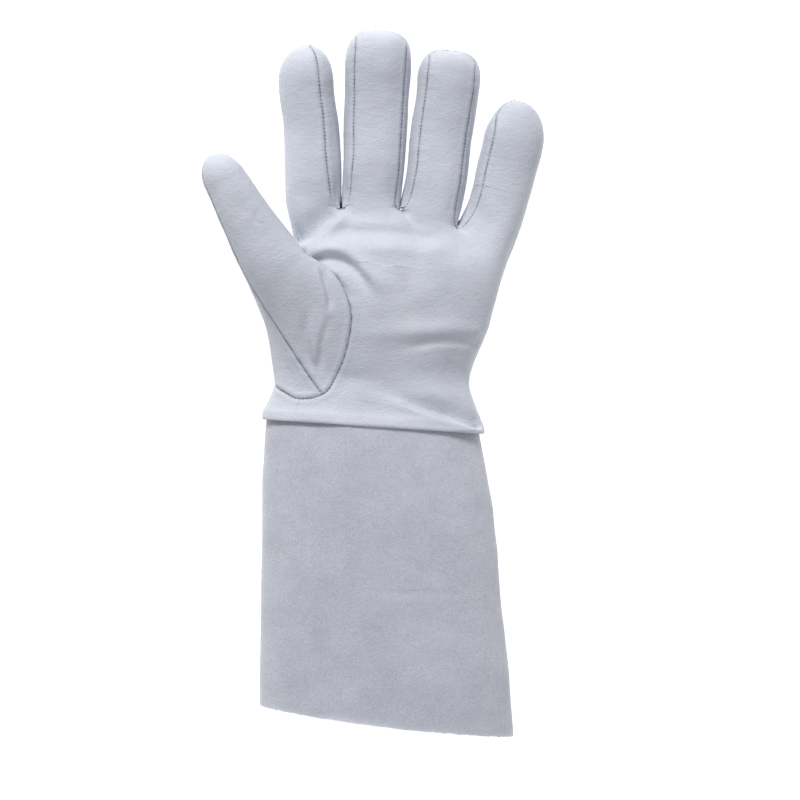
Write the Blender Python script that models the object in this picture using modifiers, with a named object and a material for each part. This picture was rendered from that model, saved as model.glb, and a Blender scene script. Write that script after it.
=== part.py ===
"""A left-hand welding glove lying on its back: soft grain-leather hand, split-leather gauntlet cuff.

Frame: +X towards the little finger, +Y towards the fingertips, +Z up out of the palm. The glove rests
on z = 0 and the origin is the middle of its footprint. Lengths below are in millimetres and angles in
degrees. Each leather panel is a grid laid on the glove's surface by a formula of two parameters, and a
Solidify modifier gives it the leather's thickness, inwards.

Angles run round a section from 0 at its +X side, through 90 on the palm side and 180, to 270 at the back.
"""
import math

import bmesh
import bpy
import numpy as np
from mathutils import Matrix, Vector

MM = 0.001

# Leather, and the room left where two panels are sewn edge to edge.
GRAIN_THICK = 1.0
SPLIT_THICK = 1.3
SEAM_GAP = 0.8
CROTCH_GAP = 2.1
CROTCH_GAP_REACH = 5.0

# Each digit: its centre line from root to tip, half widths and half depths along it, how long its
# rounded end is, and how square that end is.
DIGITS = {
    "index": dict(
        path=[(-30.0, 87.8, 16.5), (-30.6, 108.0, 14.3), (-31.6, 129.0, 13.4), (-34.0, 149.0, 14.4),
              (-33.4, 168.8, 17.0)],
        widths=(14.2, 14.0, 13.7, 13.8, 13.6), depths=(11.6, 11.6, 11.4, 11.2, 11.0), end=19.0, end_square=2.0),
    "middle": dict(
        path=[(-2.0, 87.0, 16.5), (0.0, 109.0, 14.6), (0.8, 131.0, 13.6), (1.8, 153.0, 14.6),
              (2.6, 175.7, 17.4)],
        widths=(15.2, 15.2, 16.0, 16.4, 16.4), depths=(12.0, 12.0, 11.8, 11.6, 11.4), end=21.0, end_square=2.6),
    "ring": dict(
        path=[(27.0, 81.5, 16.5), (31.4, 103.0, 14.4), (33.6, 124.0, 13.5), (37.0, 146.0, 14.6),
              (38.8, 166.3, 17.2)],
        widths=(15.0, 15.2, 15.4, 15.8, 15.6), depths=(11.7, 11.7, 11.5, 11.3, 11.0), end=19.0, end_square=2.4),
    "little": dict(
        path=[(56.2, 71.6, 15.5), (61.9, 88.5, 13.6), (66.2, 105.5, 12.7), (70.4, 122.5, 13.6),
              (71.2, 141.2, 15.8)],
        widths=(14.6, 14.2, 14.8, 14.8, 14.2), depths=(11.0, 11.0, 10.9, 10.7, 10.4), end=21.0, end_square=2.1),
    "thumb": dict(
        path=[(-31.0, 27.0, 22.0), (-42.5, 47.0, 28.5), (-53.5, 65.0, 32.5), (-63.6, 82.0, 34.0),
              (-72.8, 98.6, 34.5), (-80.2, 113.0, 34.5)],
        widths=(18.0, 16.8, 15.4, 12.9, 11.0, 9.8), depths=(16.0, 15.5, 14.0, 12.4, 11.4, 10.6), end=14.0,
        end_square=2.0),
}
FINGERS = ("index", "middle", "ring", "little")
SECTION_SQUARE = 2.5
TIP_SWEEP = 81.0
HEADING_REACH = 0.02

# The seams that run along each finger, as angles round its section.
FRONT = {"index": (65.0, 203.0), "middle": (36.0, 130.0), "ring": (40.0, 130.0), "little": (-23.0, 130.0)}
BACK = {"index": (203.0, 336.0), "middle": (203.0, 338.0), "ring": (203.0, 338.0), "little": (203.0, 337.0)}
THUMB_SEAMS = (-55.0, 150.0, 305.0)
THUMB_CROTCH_AT = -30.0

# Crotches between the fingers: x, y, height of the palm-side seam, height of the back seam.
CROTCHES = [(-16.4, 87.8, 21.0, 9.5), (12.4, 86.4, 21.0, 9.5), (41.2, 76.8, 20.0, 9.0)]
CROTCH_REACH = 17.0
CROTCH_SPREAD = 100.0

# The hand from the wrist fold up to the crotches, as rows of a superellipse section: y at its left
# edge and at its right edge, x of both edges, the height of the palm and of the back.
HAND_ROWS = [
    (-11.0, -17.5, -54.0, 53.2, 37.0, 2.0),
    (-5.0, -9.0, -50.8, 49.6, 35.0, 3.4),
    (2.0, 0.0, -48.0, 47.8, 34.0, 3.0),
    (13.0, 11.0, -46.8, 50.6, 35.6, 0.6),
    (28.0, 25.0, -44.8, 56.0, 37.2, -1.0),
    (45.0, 40.0, -41.0, 60.4, 37.4, -1.2),
    (62.0, 53.0, -37.4, 64.0, 35.4, -1.0),
    (76.0, 62.0, -40.8, 67.0, 31.8, 0.4),
    (87.8, 66.2, -43.6, 68.8, 28.6, 2.4),
]
HAND_SQUARE = 3.0
FINGER_SHAPE_FROM = 0.62
OUTER_SEAM = (-20.0, -7.0)
INNER_SEAM = 187.0
PAST_EDGE = 0.3

# The thumb hole, cut out of the hand between its two panels: how far up the hand it starts and ends,
# and the angles of its palm-side and back-side edges at seven places from its bottom to its top.
HOLE_FROM, HOLE_TO = 0.08, 0.75
HOLE_NEAR = (150.0, 112.0, 105.5, 101.0, 104.5, 125.0, 178.0)
HOLE_FAR = (150.0, 176.0, 188.0, 194.0, 195.0, 190.0, 178.0)
HOLE_INSET = 0.045
THUMB_BLEND = 44.0
ROOT_SQUEEZE = 0.04

# The grain-leather skirt below the wrist fold, and the split-leather cuff that comes out of it.
SKIRT_ROWS = [
    (-11.0, -17.5, -54.0, 53.2, 37.0, 2.0),
    (-14.4, -21.3, -55.8, 54.8, 40.6, 0.4),
    (-18.4, -25.8, -56.2, 55.6, 42.0, 0.0),
]
SKIRT_THICK = 1.9
SKIRT_ROOM = 2.5
CUFF_ROWS = [
    (-15.0, -21.8, -53.0, 52.0, 38.0, 3.4),
    (-19.4, -27.0, -53.6, 52.8, 39.4, 2.6),
    (-50.0, -58.0, -55.4, 58.4, 44.5, -0.2),
    (-88.0, -96.0, -56.0, 62.4, 47.5, -0.6),
    (-126.0, -135.0, -56.4, 66.2, 49.5, -0.6),
    (-160.5, -175.7, -56.6, 69.4, 51.0, -0.6),
]
CUFF_SQUARE = 2.7
CUFF_SAG = 5.0

# Hinges: distance up the digit, the direction it bends in as (towards +X side, towards palm), and
# how far. The axis stands this share of the half depth off the digit's middle, on the side it bends to.
HINGE_RISE = 0.35
HINGE_SLACK = 0.9
KNUCKLE = dict(bend=65.0, towards=(0.0, 1.0))
MIDDLE = dict(bend=70.0, towards=(0.0, 1.0))
THUMB_BASE = dict(bend=25.0, towards=(0.3, 0.954))
THUMB_TIP = dict(bend=45.0, towards=(0.3, 0.954))
HINGES = {
    "index": ((13.0, KNUCKLE), (43.0, MIDDLE)),
    "middle": ((14.0, KNUCKLE), (46.0, MIDDLE)),
    "ring": ((14.0, KNUCKLE), (45.0, MIDDLE)),
    "little": ((13.0, KNUCKLE), (37.0, MIDDLE)),
    "thumb": ((51.0, THUMB_BASE), (74.0, THUMB_TIP)),
}
AXIS_SQUARING = 0.5
WRIST_HEIGHT = 26.0
WRIST_SLACK = 0.5
WRIST_UP, WRIST_DOWN = 30.0, 8.0

# Small inner pieces.
ELASTIC = dict(row=0.25, angles=(222.0, 318.0), half_width=4.5, inset=1.7, thick=0.9)
CUFF_STRIP = dict(angles=(-8.0, 8.0), rows=(0.12, 0.985), inset=1.9, thick=1.2)

GRAIN_COLOUR = (0.60, 0.62, 0.68, 1.0)
SPLIT_COLOUR = (0.50, 0.51, 0.58, 1.0)
ELASTIC_COLOUR = (0.72, 0.72, 0.70, 1.0)


# ------------------------------------------------------------------ curves and sections


def through(values, t):
    """A smooth curve through evenly spaced values, read at t from 0 to 1 (Catmull-Rom)."""
    values = np.asarray(values, float)
    spans = len(values) - 1
    ends = np.concatenate([[2 * values[0] - values[1]], values, [2 * values[-1] - values[-2]]])
    place = np.clip(np.asarray(t, float), 0, 1) * spans
    i = np.minimum(place.astype(int), spans - 1)
    f = (place - i).reshape(place.shape + (1,) * (values.ndim - 1))
    p, a, b, q = (ends[i + k] for k in range(4))
    return a + 0.5 * f * (b - p + f * (2 * p - 5 * a + 4 * b - q + f * (3 * (a - b) + q - p)))


def smooth(x):
    """0 below 0, 1 above 1, and an S between."""
    x = np.clip(x, 0, 1)
    return x * x * (3 - 2 * x)


def superellipse(degrees, square):
    """The unit superellipse's two coordinates at an angle: square 2 is a circle, more is squarer."""
    c, s = np.cos(np.radians(degrees)), np.sin(np.radians(degrees))
    return np.sign(c) * np.abs(c) ** (2 / square), np.sign(s) * np.abs(s) ** (2 / square)


class Digit:
    """A finger or the thumb: a tube of superellipse sections along a curved centre line."""

    STEPS = 400

    def __init__(self, spec):
        self.spec = spec
        line = through(spec["path"], np.linspace(0, 1, self.STEPS + 1))
        lengths = np.linalg.norm(np.diff(line, axis=0), axis=1)
        self.along = np.concatenate([[0.0], np.cumsum(lengths)])
        self.length = self.along[-1]

    def frame(self, distance):
        """Centre, +X-side direction, heading and palm-side direction at a distance up the digit."""
        t = np.interp(distance, self.along, np.linspace(0, 1, self.STEPS + 1))
        path = self.spec["path"]
        after = through(path, np.minimum(t + HEADING_REACH, 1))
        ahead = after - through(path, np.maximum(t - HEADING_REACH, 0))
        heading = ahead / np.linalg.norm(ahead, axis=-1, keepdims=True)
        side = np.stack([heading[..., 1], -heading[..., 0], 0 * heading[..., 0]], axis=-1)
        side /= np.linalg.norm(side, axis=-1, keepdims=True)
        return through(path, t), side, heading, np.cross(side, heading), t

    def half_depth(self, distance):
        t = np.interp(distance, self.along, np.linspace(0, 1, self.STEPS + 1))
        return through(self.spec["depths"], t)

    def closing(self, distance):
        """1 up the digit, then down to 0 at its tip along a superellipse's quarter."""
        past = np.clip((distance - self.length + self.spec["end"]) / self.spec["end"], 0, 1)
        return (1 - past ** self.spec["end_square"]) ** (1 / self.spec["end_square"])

    def between_seams(self, low, high, count, distance):
        """Angles from one seam to the next, drawn in from both by half the seam gap, for each distance."""
        radius = 0.9 * self.half_depth(distance) * self.closing(distance)
        trim = np.degrees(SEAM_GAP / 2 / radius)[..., None]
        return low + trim + (high - low - 2 * trim) * np.linspace(0, 1, count)

    def point(self, degrees, distance):
        """A point of the tube."""
        degrees, distance = np.broadcast_arrays(degrees, distance)
        centre, side, _, palm, t = self.frame(distance)
        c, s = superellipse(degrees, SECTION_SQUARE)
        close = self.closing(distance)
        across = c * through(self.spec["widths"], t) * close
        out = s * through(self.spec["depths"], t) * close
        return centre + side * across[..., None] + palm * out[..., None]


DIGIT = {name: Digit(spec) for name, spec in DIGITS.items()}


def section(rows, square, t, degrees, inset=0.0, sag=0.0):
    """A point of the hand or cuff: superellipse section t of the way along its rows, flat where it rests."""
    t, degrees = np.broadcast_arrays(t, degrees)
    y_left, y_right, left, right, high, low = np.moveaxis(through(rows, t), -1, 0)
    c, s = superellipse(degrees, square)
    share = (c + 1) / 2
    x = (left + right) / 2 + c * ((right - left) / 2 - inset)
    y = y_left + (y_right - y_left) * share - sag * np.sin(np.pi * share) * t**3
    z = (high + low) / 2 + s * ((high - low) / 2 - inset)
    return np.stack([x, y, np.maximum(z, inset)], axis=-1)


# ------------------------------------------------------------------ the glove's surfaces


def crotch_beside(name, side):
    """The crotch's palm-side and back seam ends beside a finger, or None on the hand's outer edges."""
    i = FINGERS.index(name) - (side == "left")
    if not 0 <= i < len(CROTCHES):
        return None
    x, y, front, back = CROTCHES[i]
    return np.array([x, y, front]), np.array([x, y, back])


def beside_seams(name, side):
    """The angles of the back seam and the palm-side seam that bound a finger's side."""
    if side == "right":
        return BACK[name][1] - 360, FRONT[name][0]
    return BACK[name][0], FRONT[name][1]


def finger(name, degrees, distance):
    """A finger's surface: its tube, drawn in at the root so that both sides end in the crotches beside it.

    Between its two seams each side reaches the crotch exactly, beyond them the pull fades away round the
    finger, and up the finger it fades as the square of one minus the root of the distance: a U.
    """
    degrees, distance = np.broadcast_arrays(np.asarray(degrees, float), np.asarray(distance, float))
    points = DIGIT[name].point(degrees, distance)
    near = (1 - np.sqrt(np.clip(distance / CROTCH_REACH, 0, 1))) ** 2
    for side in ("right", "left"):
        ends = crotch_beside(name, side)
        if ends is None:
            continue
        back, front = beside_seams(name, side)
        angle = (degrees + 180) % 360 - 180 if side == "right" else degrees % 360
        share = np.clip((angle - back) / (front - back), 0, 1)
        seam = np.clip(angle, min(back, front), max(back, front))
        target = ends[1] + (ends[0] - ends[1]) * share[..., None]
        beyond = np.abs(angle - seam) / CROTCH_SPREAD
        weight = np.clip(1 - beyond, 0, 1) ** 3 * near
        points = points + (target - DIGIT[name].point(seam, 0.0)) * weight[..., None]
    return points


def hole_edge(along, near):
    """The thumb hole's edge as (place up the hand, angle), along from 0 at its bottom to 1 at its top."""
    place = HOLE_FROM + (HOLE_TO - HOLE_FROM) * (1 - np.cos(np.pi * along)) / 2
    return place, through(HOLE_NEAR if near else HOLE_FAR, along)


def hole_loop(degrees):
    """The seam that the thumb is sewn to, a little inside the hole, at an angle round the thumb."""
    degrees = np.asarray(degrees, float) % 360
    along = np.abs(180 - degrees) / 180
    place, near = hole_edge(along, True)
    angle = np.where(degrees < 180, near, hole_edge(along, False)[1])
    middle = (HOLE_FROM + HOLE_TO) / 2
    place = middle + (place - middle) * (1 - HOLE_INSET)
    angle = HOLE_NEAR[0] + (angle - HOLE_NEAR[0]) * (1 - HOLE_INSET)
    return section(HAND_ROWS, HAND_SQUARE, place, angle)


def thumb(degrees, distance):
    """The thumb's surface: it leaves the hole's seam and turns into the thumb's tube.

    On the crotch's side it leaves along the tube's own direction, so that it clears the hand.
    """
    degrees, distance = np.broadcast_arrays(np.asarray(degrees, float), np.asarray(distance, float))
    turned = smooth(distance / THUMB_BLEND)[..., None]
    tube = DIGIT["thumb"].point(degrees, distance)
    run = tube - DIGIT["thumb"].point(degrees, 0.0)
    by_crotch = ((1 + np.cos(np.radians(degrees - THUMB_CROTCH_AT))) / 2)[..., None]
    return tube * turned + (hole_loop(degrees) + run * by_crotch) * (1 - turned)


def hand_edge(place, front, top):
    """The angle at which a hand panel ends on the thumb's side, where it ends at top beside the finger."""
    along = np.arccos(np.clip(1 - 2 * (place - HOLE_FROM) / (HOLE_TO - HOLE_FROM), -1, 1)) / np.pi
    hole = hole_edge(along, front)[1]
    above = HOLE_NEAR[-1] + (top - HOLE_NEAR[-1]) * (place - HOLE_TO) / (1 - HOLE_TO)
    return np.where(place > HOLE_TO, above, hole)


def wrist_room(angles):
    """How far from the wrist's hinge the leather stops, so that the wrist can bend both ways."""
    height = section(HAND_ROWS, HAND_SQUARE, 0.0, angles)[..., 2] - WRIST_HEIGHT
    above = np.maximum(height, 0) * math.tan(math.radians(WRIST_UP / 2))
    below = np.maximum(-height, 0) * math.tan(math.radians(WRIST_DOWN / 2))
    return above + below + WRIST_SLACK


def hand_panel(names, angles, place, front):
    """A hand panel's points: column angles of each finger in turn, and places up the hand from 0 to 1.

    At place 1 each column is at its finger's root. Below it the fingers' shape fades into the hand's
    own section, and the columns keep their share of the way across between the panel's two edges.
    """
    root = np.concatenate([finger(name, angles[name], 0.0) for name in names])
    digit_angle = np.concatenate([np.asarray(angles[name]) for name in names])
    _, _, left, right, _, _ = HAND_ROWS[-1]
    across = np.clip((2 * root[:, 0] - left - right) / (right - left), -1, 1)
    upper = np.degrees(np.arccos(np.sign(across) * np.abs(across) ** (HAND_SQUARE / 2)))
    if front:
        home = np.where(digit_angle < 0, digit_angle * PAST_EDGE, upper)
        home = np.where(digit_angle > 180, 180 + (digit_angle - 180) * PAST_EDGE, home)
    else:
        home = np.clip(360 - upper, INNER_SEAM, 360 + OUTER_SEAM[1])
    place = place[:, None]
    outer_top, inner_top = (home[0], home[-1]) if front else (home[-1], home[0])
    outer_wrist = OUTER_SEAM[0] + (0 if front else 360)
    outer = outer_wrist + (outer_top - outer_wrist) * place
    inner = hand_edge(place, front, inner_top)
    share = (home - home[0]) / (home[-1] - home[0])
    low, high = (outer, inner) if front else (inner, outer)
    angle = low + (high - low) * share
    place = np.repeat(place, len(home), axis=1)
    first_span = (HAND_ROWS[1][0] - HAND_ROWS[0][0]) * (len(HAND_ROWS) - 1)
    place[0] = wrist_room(angle[0]) / first_span
    fade = smooth((place - FINGER_SHAPE_FROM) / (1 - FINGER_SHAPE_FROM))[..., None]
    own = section(HAND_ROWS, HAND_SQUARE, place, angle)
    return own + (root - section(HAND_ROWS, HAND_SQUARE, 1.0, home)) * fade


# ------------------------------------------------------------------ hinges


class Hinge:
    """A digit's hinge: where it is, its axis, and how far back the leather is cut on the side it closes."""

    def __init__(self, name, distance, bend, towards):
        self.name, self.distance, self.bend = name, distance, bend
        digit = DIGIT[name]
        centre, side, heading, palm, _ = digit.frame(distance)
        self.towards = side * towards[0] + palm * towards[1]
        self.position = centre + self.towards * HINGE_RISE * digit.half_depth(distance)
        self.axis = np.cross(heading, self.towards)
        if name != "thumb":
            self.axis = self.axis * (1 - AXIS_SQUARING) + np.array([AXIS_SQUARING, 0.0, 0.0])
        self.axis /= np.linalg.norm(self.axis)
        self.heading = heading

    def cut(self, surface, degrees, beyond):
        """The distance up the digit at which a panel ends, or starts when beyond is true."""
        tangent = math.tan(math.radians(self.bend / 2))
        sign = 1 if beyond else -1
        distance = np.full(np.shape(degrees), self.distance)
        for _ in range(4):
            offset = surface(degrees, distance) - self.position
            height = np.maximum(offset @ self.towards, 0)
            skew = offset @ self.heading - (distance - self.distance)
            distance = self.distance - skew + sign * (height * tangent + HINGE_SLACK)
        return distance


def hinges_of(name):
    return [Hinge(name, distance, **how) for distance, how in HINGES[name]]


def surface_of(name):
    """A finger's surface as a function of angle and distance alone."""
    return lambda degrees, distance: finger(name, degrees, distance)


# ------------------------------------------------------------------ meshes


def clear_scene():
    for obj in list(bpy.data.objects):
        bpy.data.objects.remove(obj)


def principled(name, colour, roughness):
    material = bpy.data.materials.new(name)
    material.use_nodes = True
    shader = material.node_tree.nodes["Principled BSDF"]
    shader.inputs["Base Color"].default_value = colour
    shader.inputs["Roughness"].default_value = roughness
    shader.inputs["Metallic"].default_value = 0.0
    return material


def shell(name, grids, finish, thick, parent, flip=False):
    """One leather piece: grids of points, joined where they meet, and a wall inwards from them."""
    mesh_tool = bmesh.new()
    for grid in grids:
        rows, columns = grid.shape[:2]
        made = [[mesh_tool.verts.new(Vector(point * MM)) for point in row] for row in grid]
        for i in range(rows - 1):
            for j in range(columns - 1):
                corners = [made[i][j], made[i + 1][j], made[i + 1][j + 1], made[i][j + 1]]
                mesh_tool.faces.new(corners[::-1] if flip else corners)
    bmesh.ops.remove_doubles(mesh_tool, verts=mesh_tool.verts, dist=0.01 * MM)
    bmesh.ops.dissolve_degenerate(mesh_tool, edges=mesh_tool.edges, dist=0.01 * MM)
    mesh = bpy.data.meshes.new(name)
    mesh_tool.to_mesh(mesh)
    mesh_tool.free()
    mesh.shade_smooth()
    mesh.materials.append(finish)
    obj = bpy.data.objects.new(name, mesh)
    GLOVE.objects.link(obj)
    if parent is not None:
        obj.parent = parent
        obj.matrix_parent_inverse = parent.matrix_world.inverted()
    wall = obj.modifiers.new("leather", "SOLIDIFY")
    wall.thickness = thick * MM
    wall.offset = -1.0
    return obj


def hinge_empty(name, position, axis, parent):
    """An empty on a hinge, its X along the axis."""
    empty = bpy.data.objects.new(name, None)
    empty.empty_display_size = 10 * MM
    GLOVE.objects.link(empty)
    turn = Vector((1, 0, 0)).rotation_difference(Vector(axis))
    placed = Matrix.Translation(Vector(position * MM)) @ turn.to_matrix().to_4x4()
    empty.parent = parent
    empty.matrix_world = placed
    bpy.context.view_layer.update()
    return empty


# ------------------------------------------------------------------ pieces


def even(low, high, count):
    return np.linspace(low, high, count)


def panel(surface, angles, start, end, rows):
    """A panel of a digit: from one cut to the other along each of its angles."""
    return surface(angles, start + (end - start) * even(0, 1, rows)[:, None])


def tip_grids(surface, digit, low, high, count, start, rows):
    """The tip's panel: straight rows from the cut, then rows closer together round its end."""
    sweep = np.radians(even(0, TIP_SWEEP, 6))
    distances = digit.length - digit.spec["end"] * (1 - np.sin(sweep))
    angles = digit.between_seams(low, high, count, distances)
    straight = panel(surface, angles[0], start, distances[0], rows)
    return [straight, surface(angles, distances[:, None])]


def make_finger(name):
    """One finger: a near segment and a tip segment, each with its front, back and side strips."""
    surface = surface_of(name)
    digit = DIGIT[name]
    knuckle, middle = hinges_of(name)
    near_empty = hinge_empty(f"{name}_knuckle", knuckle.position, knuckle.axis, None)
    tip_empty = hinge_empty(f"{name}_middle_joint", middle.position, middle.axis, near_empty)
    pieces = {"front": (FRONT[name], 9), "back": (BACK[name], 9)}
    for side in ("right", "left"):
        if crotch_beside(name, side) is not None:
            pieces[f"{side}_fourchette"] = (sorted(beside_seams(name, side)), 4)
    for piece, ((low, high), columns) in pieces.items():
        angles = digit.between_seams(low, high, columns, knuckle.distance)
        start, end = knuckle.cut(surface, angles, True), middle.cut(surface, angles, False)
        near = panel(surface, angles, start, end, 4)
        shell(f"{name}_near_{piece}", [near], GRAIN, GRAIN_THICK, near_empty)
        start = middle.cut(surface, angles, True)
        tip = tip_grids(surface, digit, low, high, columns, start, 4)
        shell(f"{name}_tip_{piece}", tip, GRAIN, GRAIN_THICK, tip_empty)


def hand_angles(front):
    """The column angles of each finger in a hand panel, seam to seam."""
    spans = FRONT if front else BACK
    counts = {"index": 8, "middle": 7, "ring": 7, "little": 8}
    return {name: even(*spans[name], counts[name]) for name in FINGERS}


def make_hand_panel(name, front):
    """The palm or the back: the hand's part, and the root of each finger up to its knuckle."""
    names = FINGERS[::-1] if front else FINGERS
    angles = hand_angles(front)
    below = even(0, HOLE_FROM, 2)[:-1]
    beside = hole_edge(even(0, 1, 11), True)[0]
    above = even(HOLE_TO, 1, 5)[1:]
    places = np.concatenate([below, beside, above])
    grid = hand_panel(names, angles, places, front)
    grids = [trim_side(trim_side(grid, 0, 1), -1, -2)]
    column = 0
    total = grid.shape[1]
    for digit_name in names:
        surface = surface_of(digit_name)
        knuckle = hinges_of(digit_name)[0]
        own = angles[digit_name]
        end = knuckle.cut(surface, own, False)
        rows = even(0, 1, 5)[:, None] ** 1.6
        stub = surface(own[None, :], end * rows)
        if column == 0:
            stub = trim_side(stub, 0, 1)
        if column + len(own) == total:
            stub = trim_side(stub, -1, -2)
        grids.append(stub)
        column += len(own)
    shell(name, grids, GRAIN, GRAIN_THICK, None)


def trim_side(grid, edge, inner):
    """The grid with its edge column drawn towards the inner one by half the seam gap."""
    grid = grid.copy()
    step = grid[:, inner] - grid[:, edge]
    grid[:, edge] += step * (SEAM_GAP / 2 / np.linalg.norm(step, axis=-1))[:, None]
    return grid


def make_fork(i):
    """The lower part of a fourchette: a strip down one finger's side, round the crotch and up the next."""
    left_name, right_name = FINGERS[i], FINGERS[i + 1]
    shares = even(0, 1, 4)
    halves = []
    for name, side in ((left_name, "right"), (right_name, "left")):
        surface = surface_of(name)
        knuckle = hinges_of(name)[0]
        back, front = beside_seams(name, side)
        rows = []
        end = knuckle.cut(surface, back + (front - back) * shares, False)
        for step in even(0, 1, 6) ** 1.8:
            distance = end * step
            typical = distance.mean()
            room = SEAM_GAP / 2 + (CROTCH_GAP - SEAM_GAP / 2) * np.exp(-typical / CROTCH_GAP_REACH)
            height = np.linalg.norm(surface(back, typical) - surface(front, typical))
            drawn = room / height + shares * (1 - 2 * room / height)
            rows.append(surface(back + (front - back) * drawn, distance))
        halves.append(np.array(rows))
    band = np.concatenate([halves[0][::-1], halves[1][1:]])
    shell(f"{left_name}_{right_name}_fork", [band], GRAIN, GRAIN_THICK, None, flip=True)


def make_thumb():
    """The thumb: a root sewn into its hole, a near segment and a tip, each of two pieces."""
    digit = DIGIT["thumb"]
    knuckle, middle = hinges_of("thumb")
    near_empty = hinge_empty("thumb_knuckle", knuckle.position, knuckle.axis, None)
    tip_empty = hinge_empty("thumb_middle_joint", middle.position, middle.axis, near_empty)
    for piece, low, high in (("front", *THUMB_SEAMS[:2]), ("back", *THUMB_SEAMS[1:])):
        angles = digit.between_seams(low, high, 11, knuckle.distance)
        end = knuckle.cut(thumb, angles, False)
        squeeze = ROOT_SQUEEZE * even(1, 0, 9)[:, None]
        root = panel(thumb, angles + (angles.mean() - angles) * squeeze, 0.0, end, 9)
        shell(f"thumb_root_{piece}", [root], GRAIN, GRAIN_THICK, None)
        start, end = knuckle.cut(thumb, angles, True), middle.cut(thumb, angles, False)
        near = panel(thumb, angles, start, end, 3)
        shell(f"thumb_near_{piece}", [near], GRAIN, GRAIN_THICK, near_empty)
        tip = tip_grids(thumb, digit, low, high, 11, middle.cut(thumb, angles, True), 3)
        shell(f"thumb_tip_{piece}", tip, GRAIN, GRAIN_THICK, tip_empty)


def wrist_line():
    """The wrist fold's hinge: a point under the palm and its axis, along the hand's lowest row."""
    y_left, y_right, left, right, _, _ = HAND_ROWS[0]
    position = np.array([(left + right) / 2, (y_left + y_right) / 2, WRIST_HEIGHT])
    axis = np.array([right - left, y_right - y_left, 0.0])
    return position, -axis / np.linalg.norm(axis)


def make_wrist_and_cuff():
    position, axis = wrist_line()
    empty = hinge_empty("wrist", position, axis, None)
    for piece, low, high in (("front", -20.0, 150.0), ("back", 150.0, 340.0)):
        angles = even(low + SKIRT_ROOM, high - SKIRT_ROOM, 17)
        cut = wrist_room(angles) / (SKIRT_ROWS[0][0] - SKIRT_ROWS[-1][0])
        places = cut + (1 - cut) * even(0, 1, 4)[:, None]
        skirt = section(SKIRT_ROWS, HAND_SQUARE, places, angles[None, :])
        shell(f"wrist_hem_{piece}", [skirt], GRAIN, SKIRT_THICK, empty, flip=True)
    places, angles = even(0, 1, 11)[:, None], even(0, 360, 41)
    cuff = section(CUFF_ROWS, CUFF_SQUARE, places, angles, sag=CUFF_SAG)
    shell("cuff", [cuff], SPLIT, SPLIT_THICK, empty, flip=True)
    spec = CUFF_STRIP
    places, angles = even(*spec["rows"], 8)[:, None], even(*spec["angles"], 4)
    strip = section(CUFF_ROWS, CUFF_SQUARE, places, angles, inset=spec["inset"], sag=CUFF_SAG)
    shell("cuff_seam_strip", [strip], SPLIT, spec["thick"], empty, flip=True)


def make_elastic():
    """The gathering elastic sewn across the inside of the back at the wrist."""
    spec = ELASTIC
    middle = section(HAND_ROWS, HAND_SQUARE, spec["row"], even(*spec["angles"], 11), inset=spec["inset"])
    half = np.array([0.0, spec["half_width"], 0.0])
    band = np.stack([middle - half, middle, middle + half])
    shell("wrist_elastic", [band], ELASTIC_FINISH, spec["thick"], None)


clear_scene()
GLOVE = bpy.data.collections.new("welding_glove")
bpy.context.scene.collection.children.link(GLOVE)
GRAIN = principled("grain_leather", GRAIN_COLOUR, 0.5)
SPLIT = principled("split_leather", SPLIT_COLOUR, 0.9)
ELASTIC_FINISH = principled("elastic_tape", ELASTIC_COLOUR, 0.8)
make_hand_panel("palm_panel", True)
make_hand_panel("back_panel", False)
for number in range(len(CROTCHES)):
    make_fork(number)
for finger_name in FINGERS:
    make_finger(finger_name)
make_thumb()
make_wrist_and_cuff()
make_elastic()
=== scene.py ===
# %% [markdown]
# # A leather welding glove with a split-leather gauntlet
# A left-hand glove lies on its back, as if a hand were still in it. The hand is soft grain
# leather cut as a palm, a back, six fourchettes (the strips between the fingers) and a thumb
# sewn into an oval hole. A wide cuff of fuzzy split leather comes out from under the hem.
#
# Three ways could give this shape: sculpting, cloth simulation, or surfaces worked out from
# formulas. Formulas are used here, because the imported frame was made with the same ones, so each
# leather panel lands on its own CAD solid, and neighbours meet exactly at their seams.

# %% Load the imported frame
import math
import bmesh
import bpy
import numpy as np
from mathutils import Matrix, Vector


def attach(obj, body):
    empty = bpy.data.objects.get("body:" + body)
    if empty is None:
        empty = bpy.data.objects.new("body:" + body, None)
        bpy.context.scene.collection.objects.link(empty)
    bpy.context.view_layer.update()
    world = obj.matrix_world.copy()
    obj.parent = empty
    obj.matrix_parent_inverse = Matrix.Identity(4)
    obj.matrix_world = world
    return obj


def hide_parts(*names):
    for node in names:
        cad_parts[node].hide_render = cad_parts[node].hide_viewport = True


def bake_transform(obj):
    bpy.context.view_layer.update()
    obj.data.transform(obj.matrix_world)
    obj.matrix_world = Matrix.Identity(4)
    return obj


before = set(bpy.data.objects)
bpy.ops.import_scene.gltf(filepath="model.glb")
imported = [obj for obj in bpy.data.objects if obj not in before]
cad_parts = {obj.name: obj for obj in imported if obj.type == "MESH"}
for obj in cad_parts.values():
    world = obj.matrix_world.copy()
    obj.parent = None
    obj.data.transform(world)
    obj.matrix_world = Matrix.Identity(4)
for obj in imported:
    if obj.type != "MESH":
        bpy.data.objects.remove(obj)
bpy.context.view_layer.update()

# %% [markdown]
# ## The pattern of the glove
# Lengths are in millimetres and angles in degrees. +X points to the little finger, +Y to the
# fingertips and +Z up out of the palm. Round every section the angle is 0 on the +X side, 90 on
# the palm, 180 on the thumb's side and 270 on the back. These values repeat the frame's own.

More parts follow.
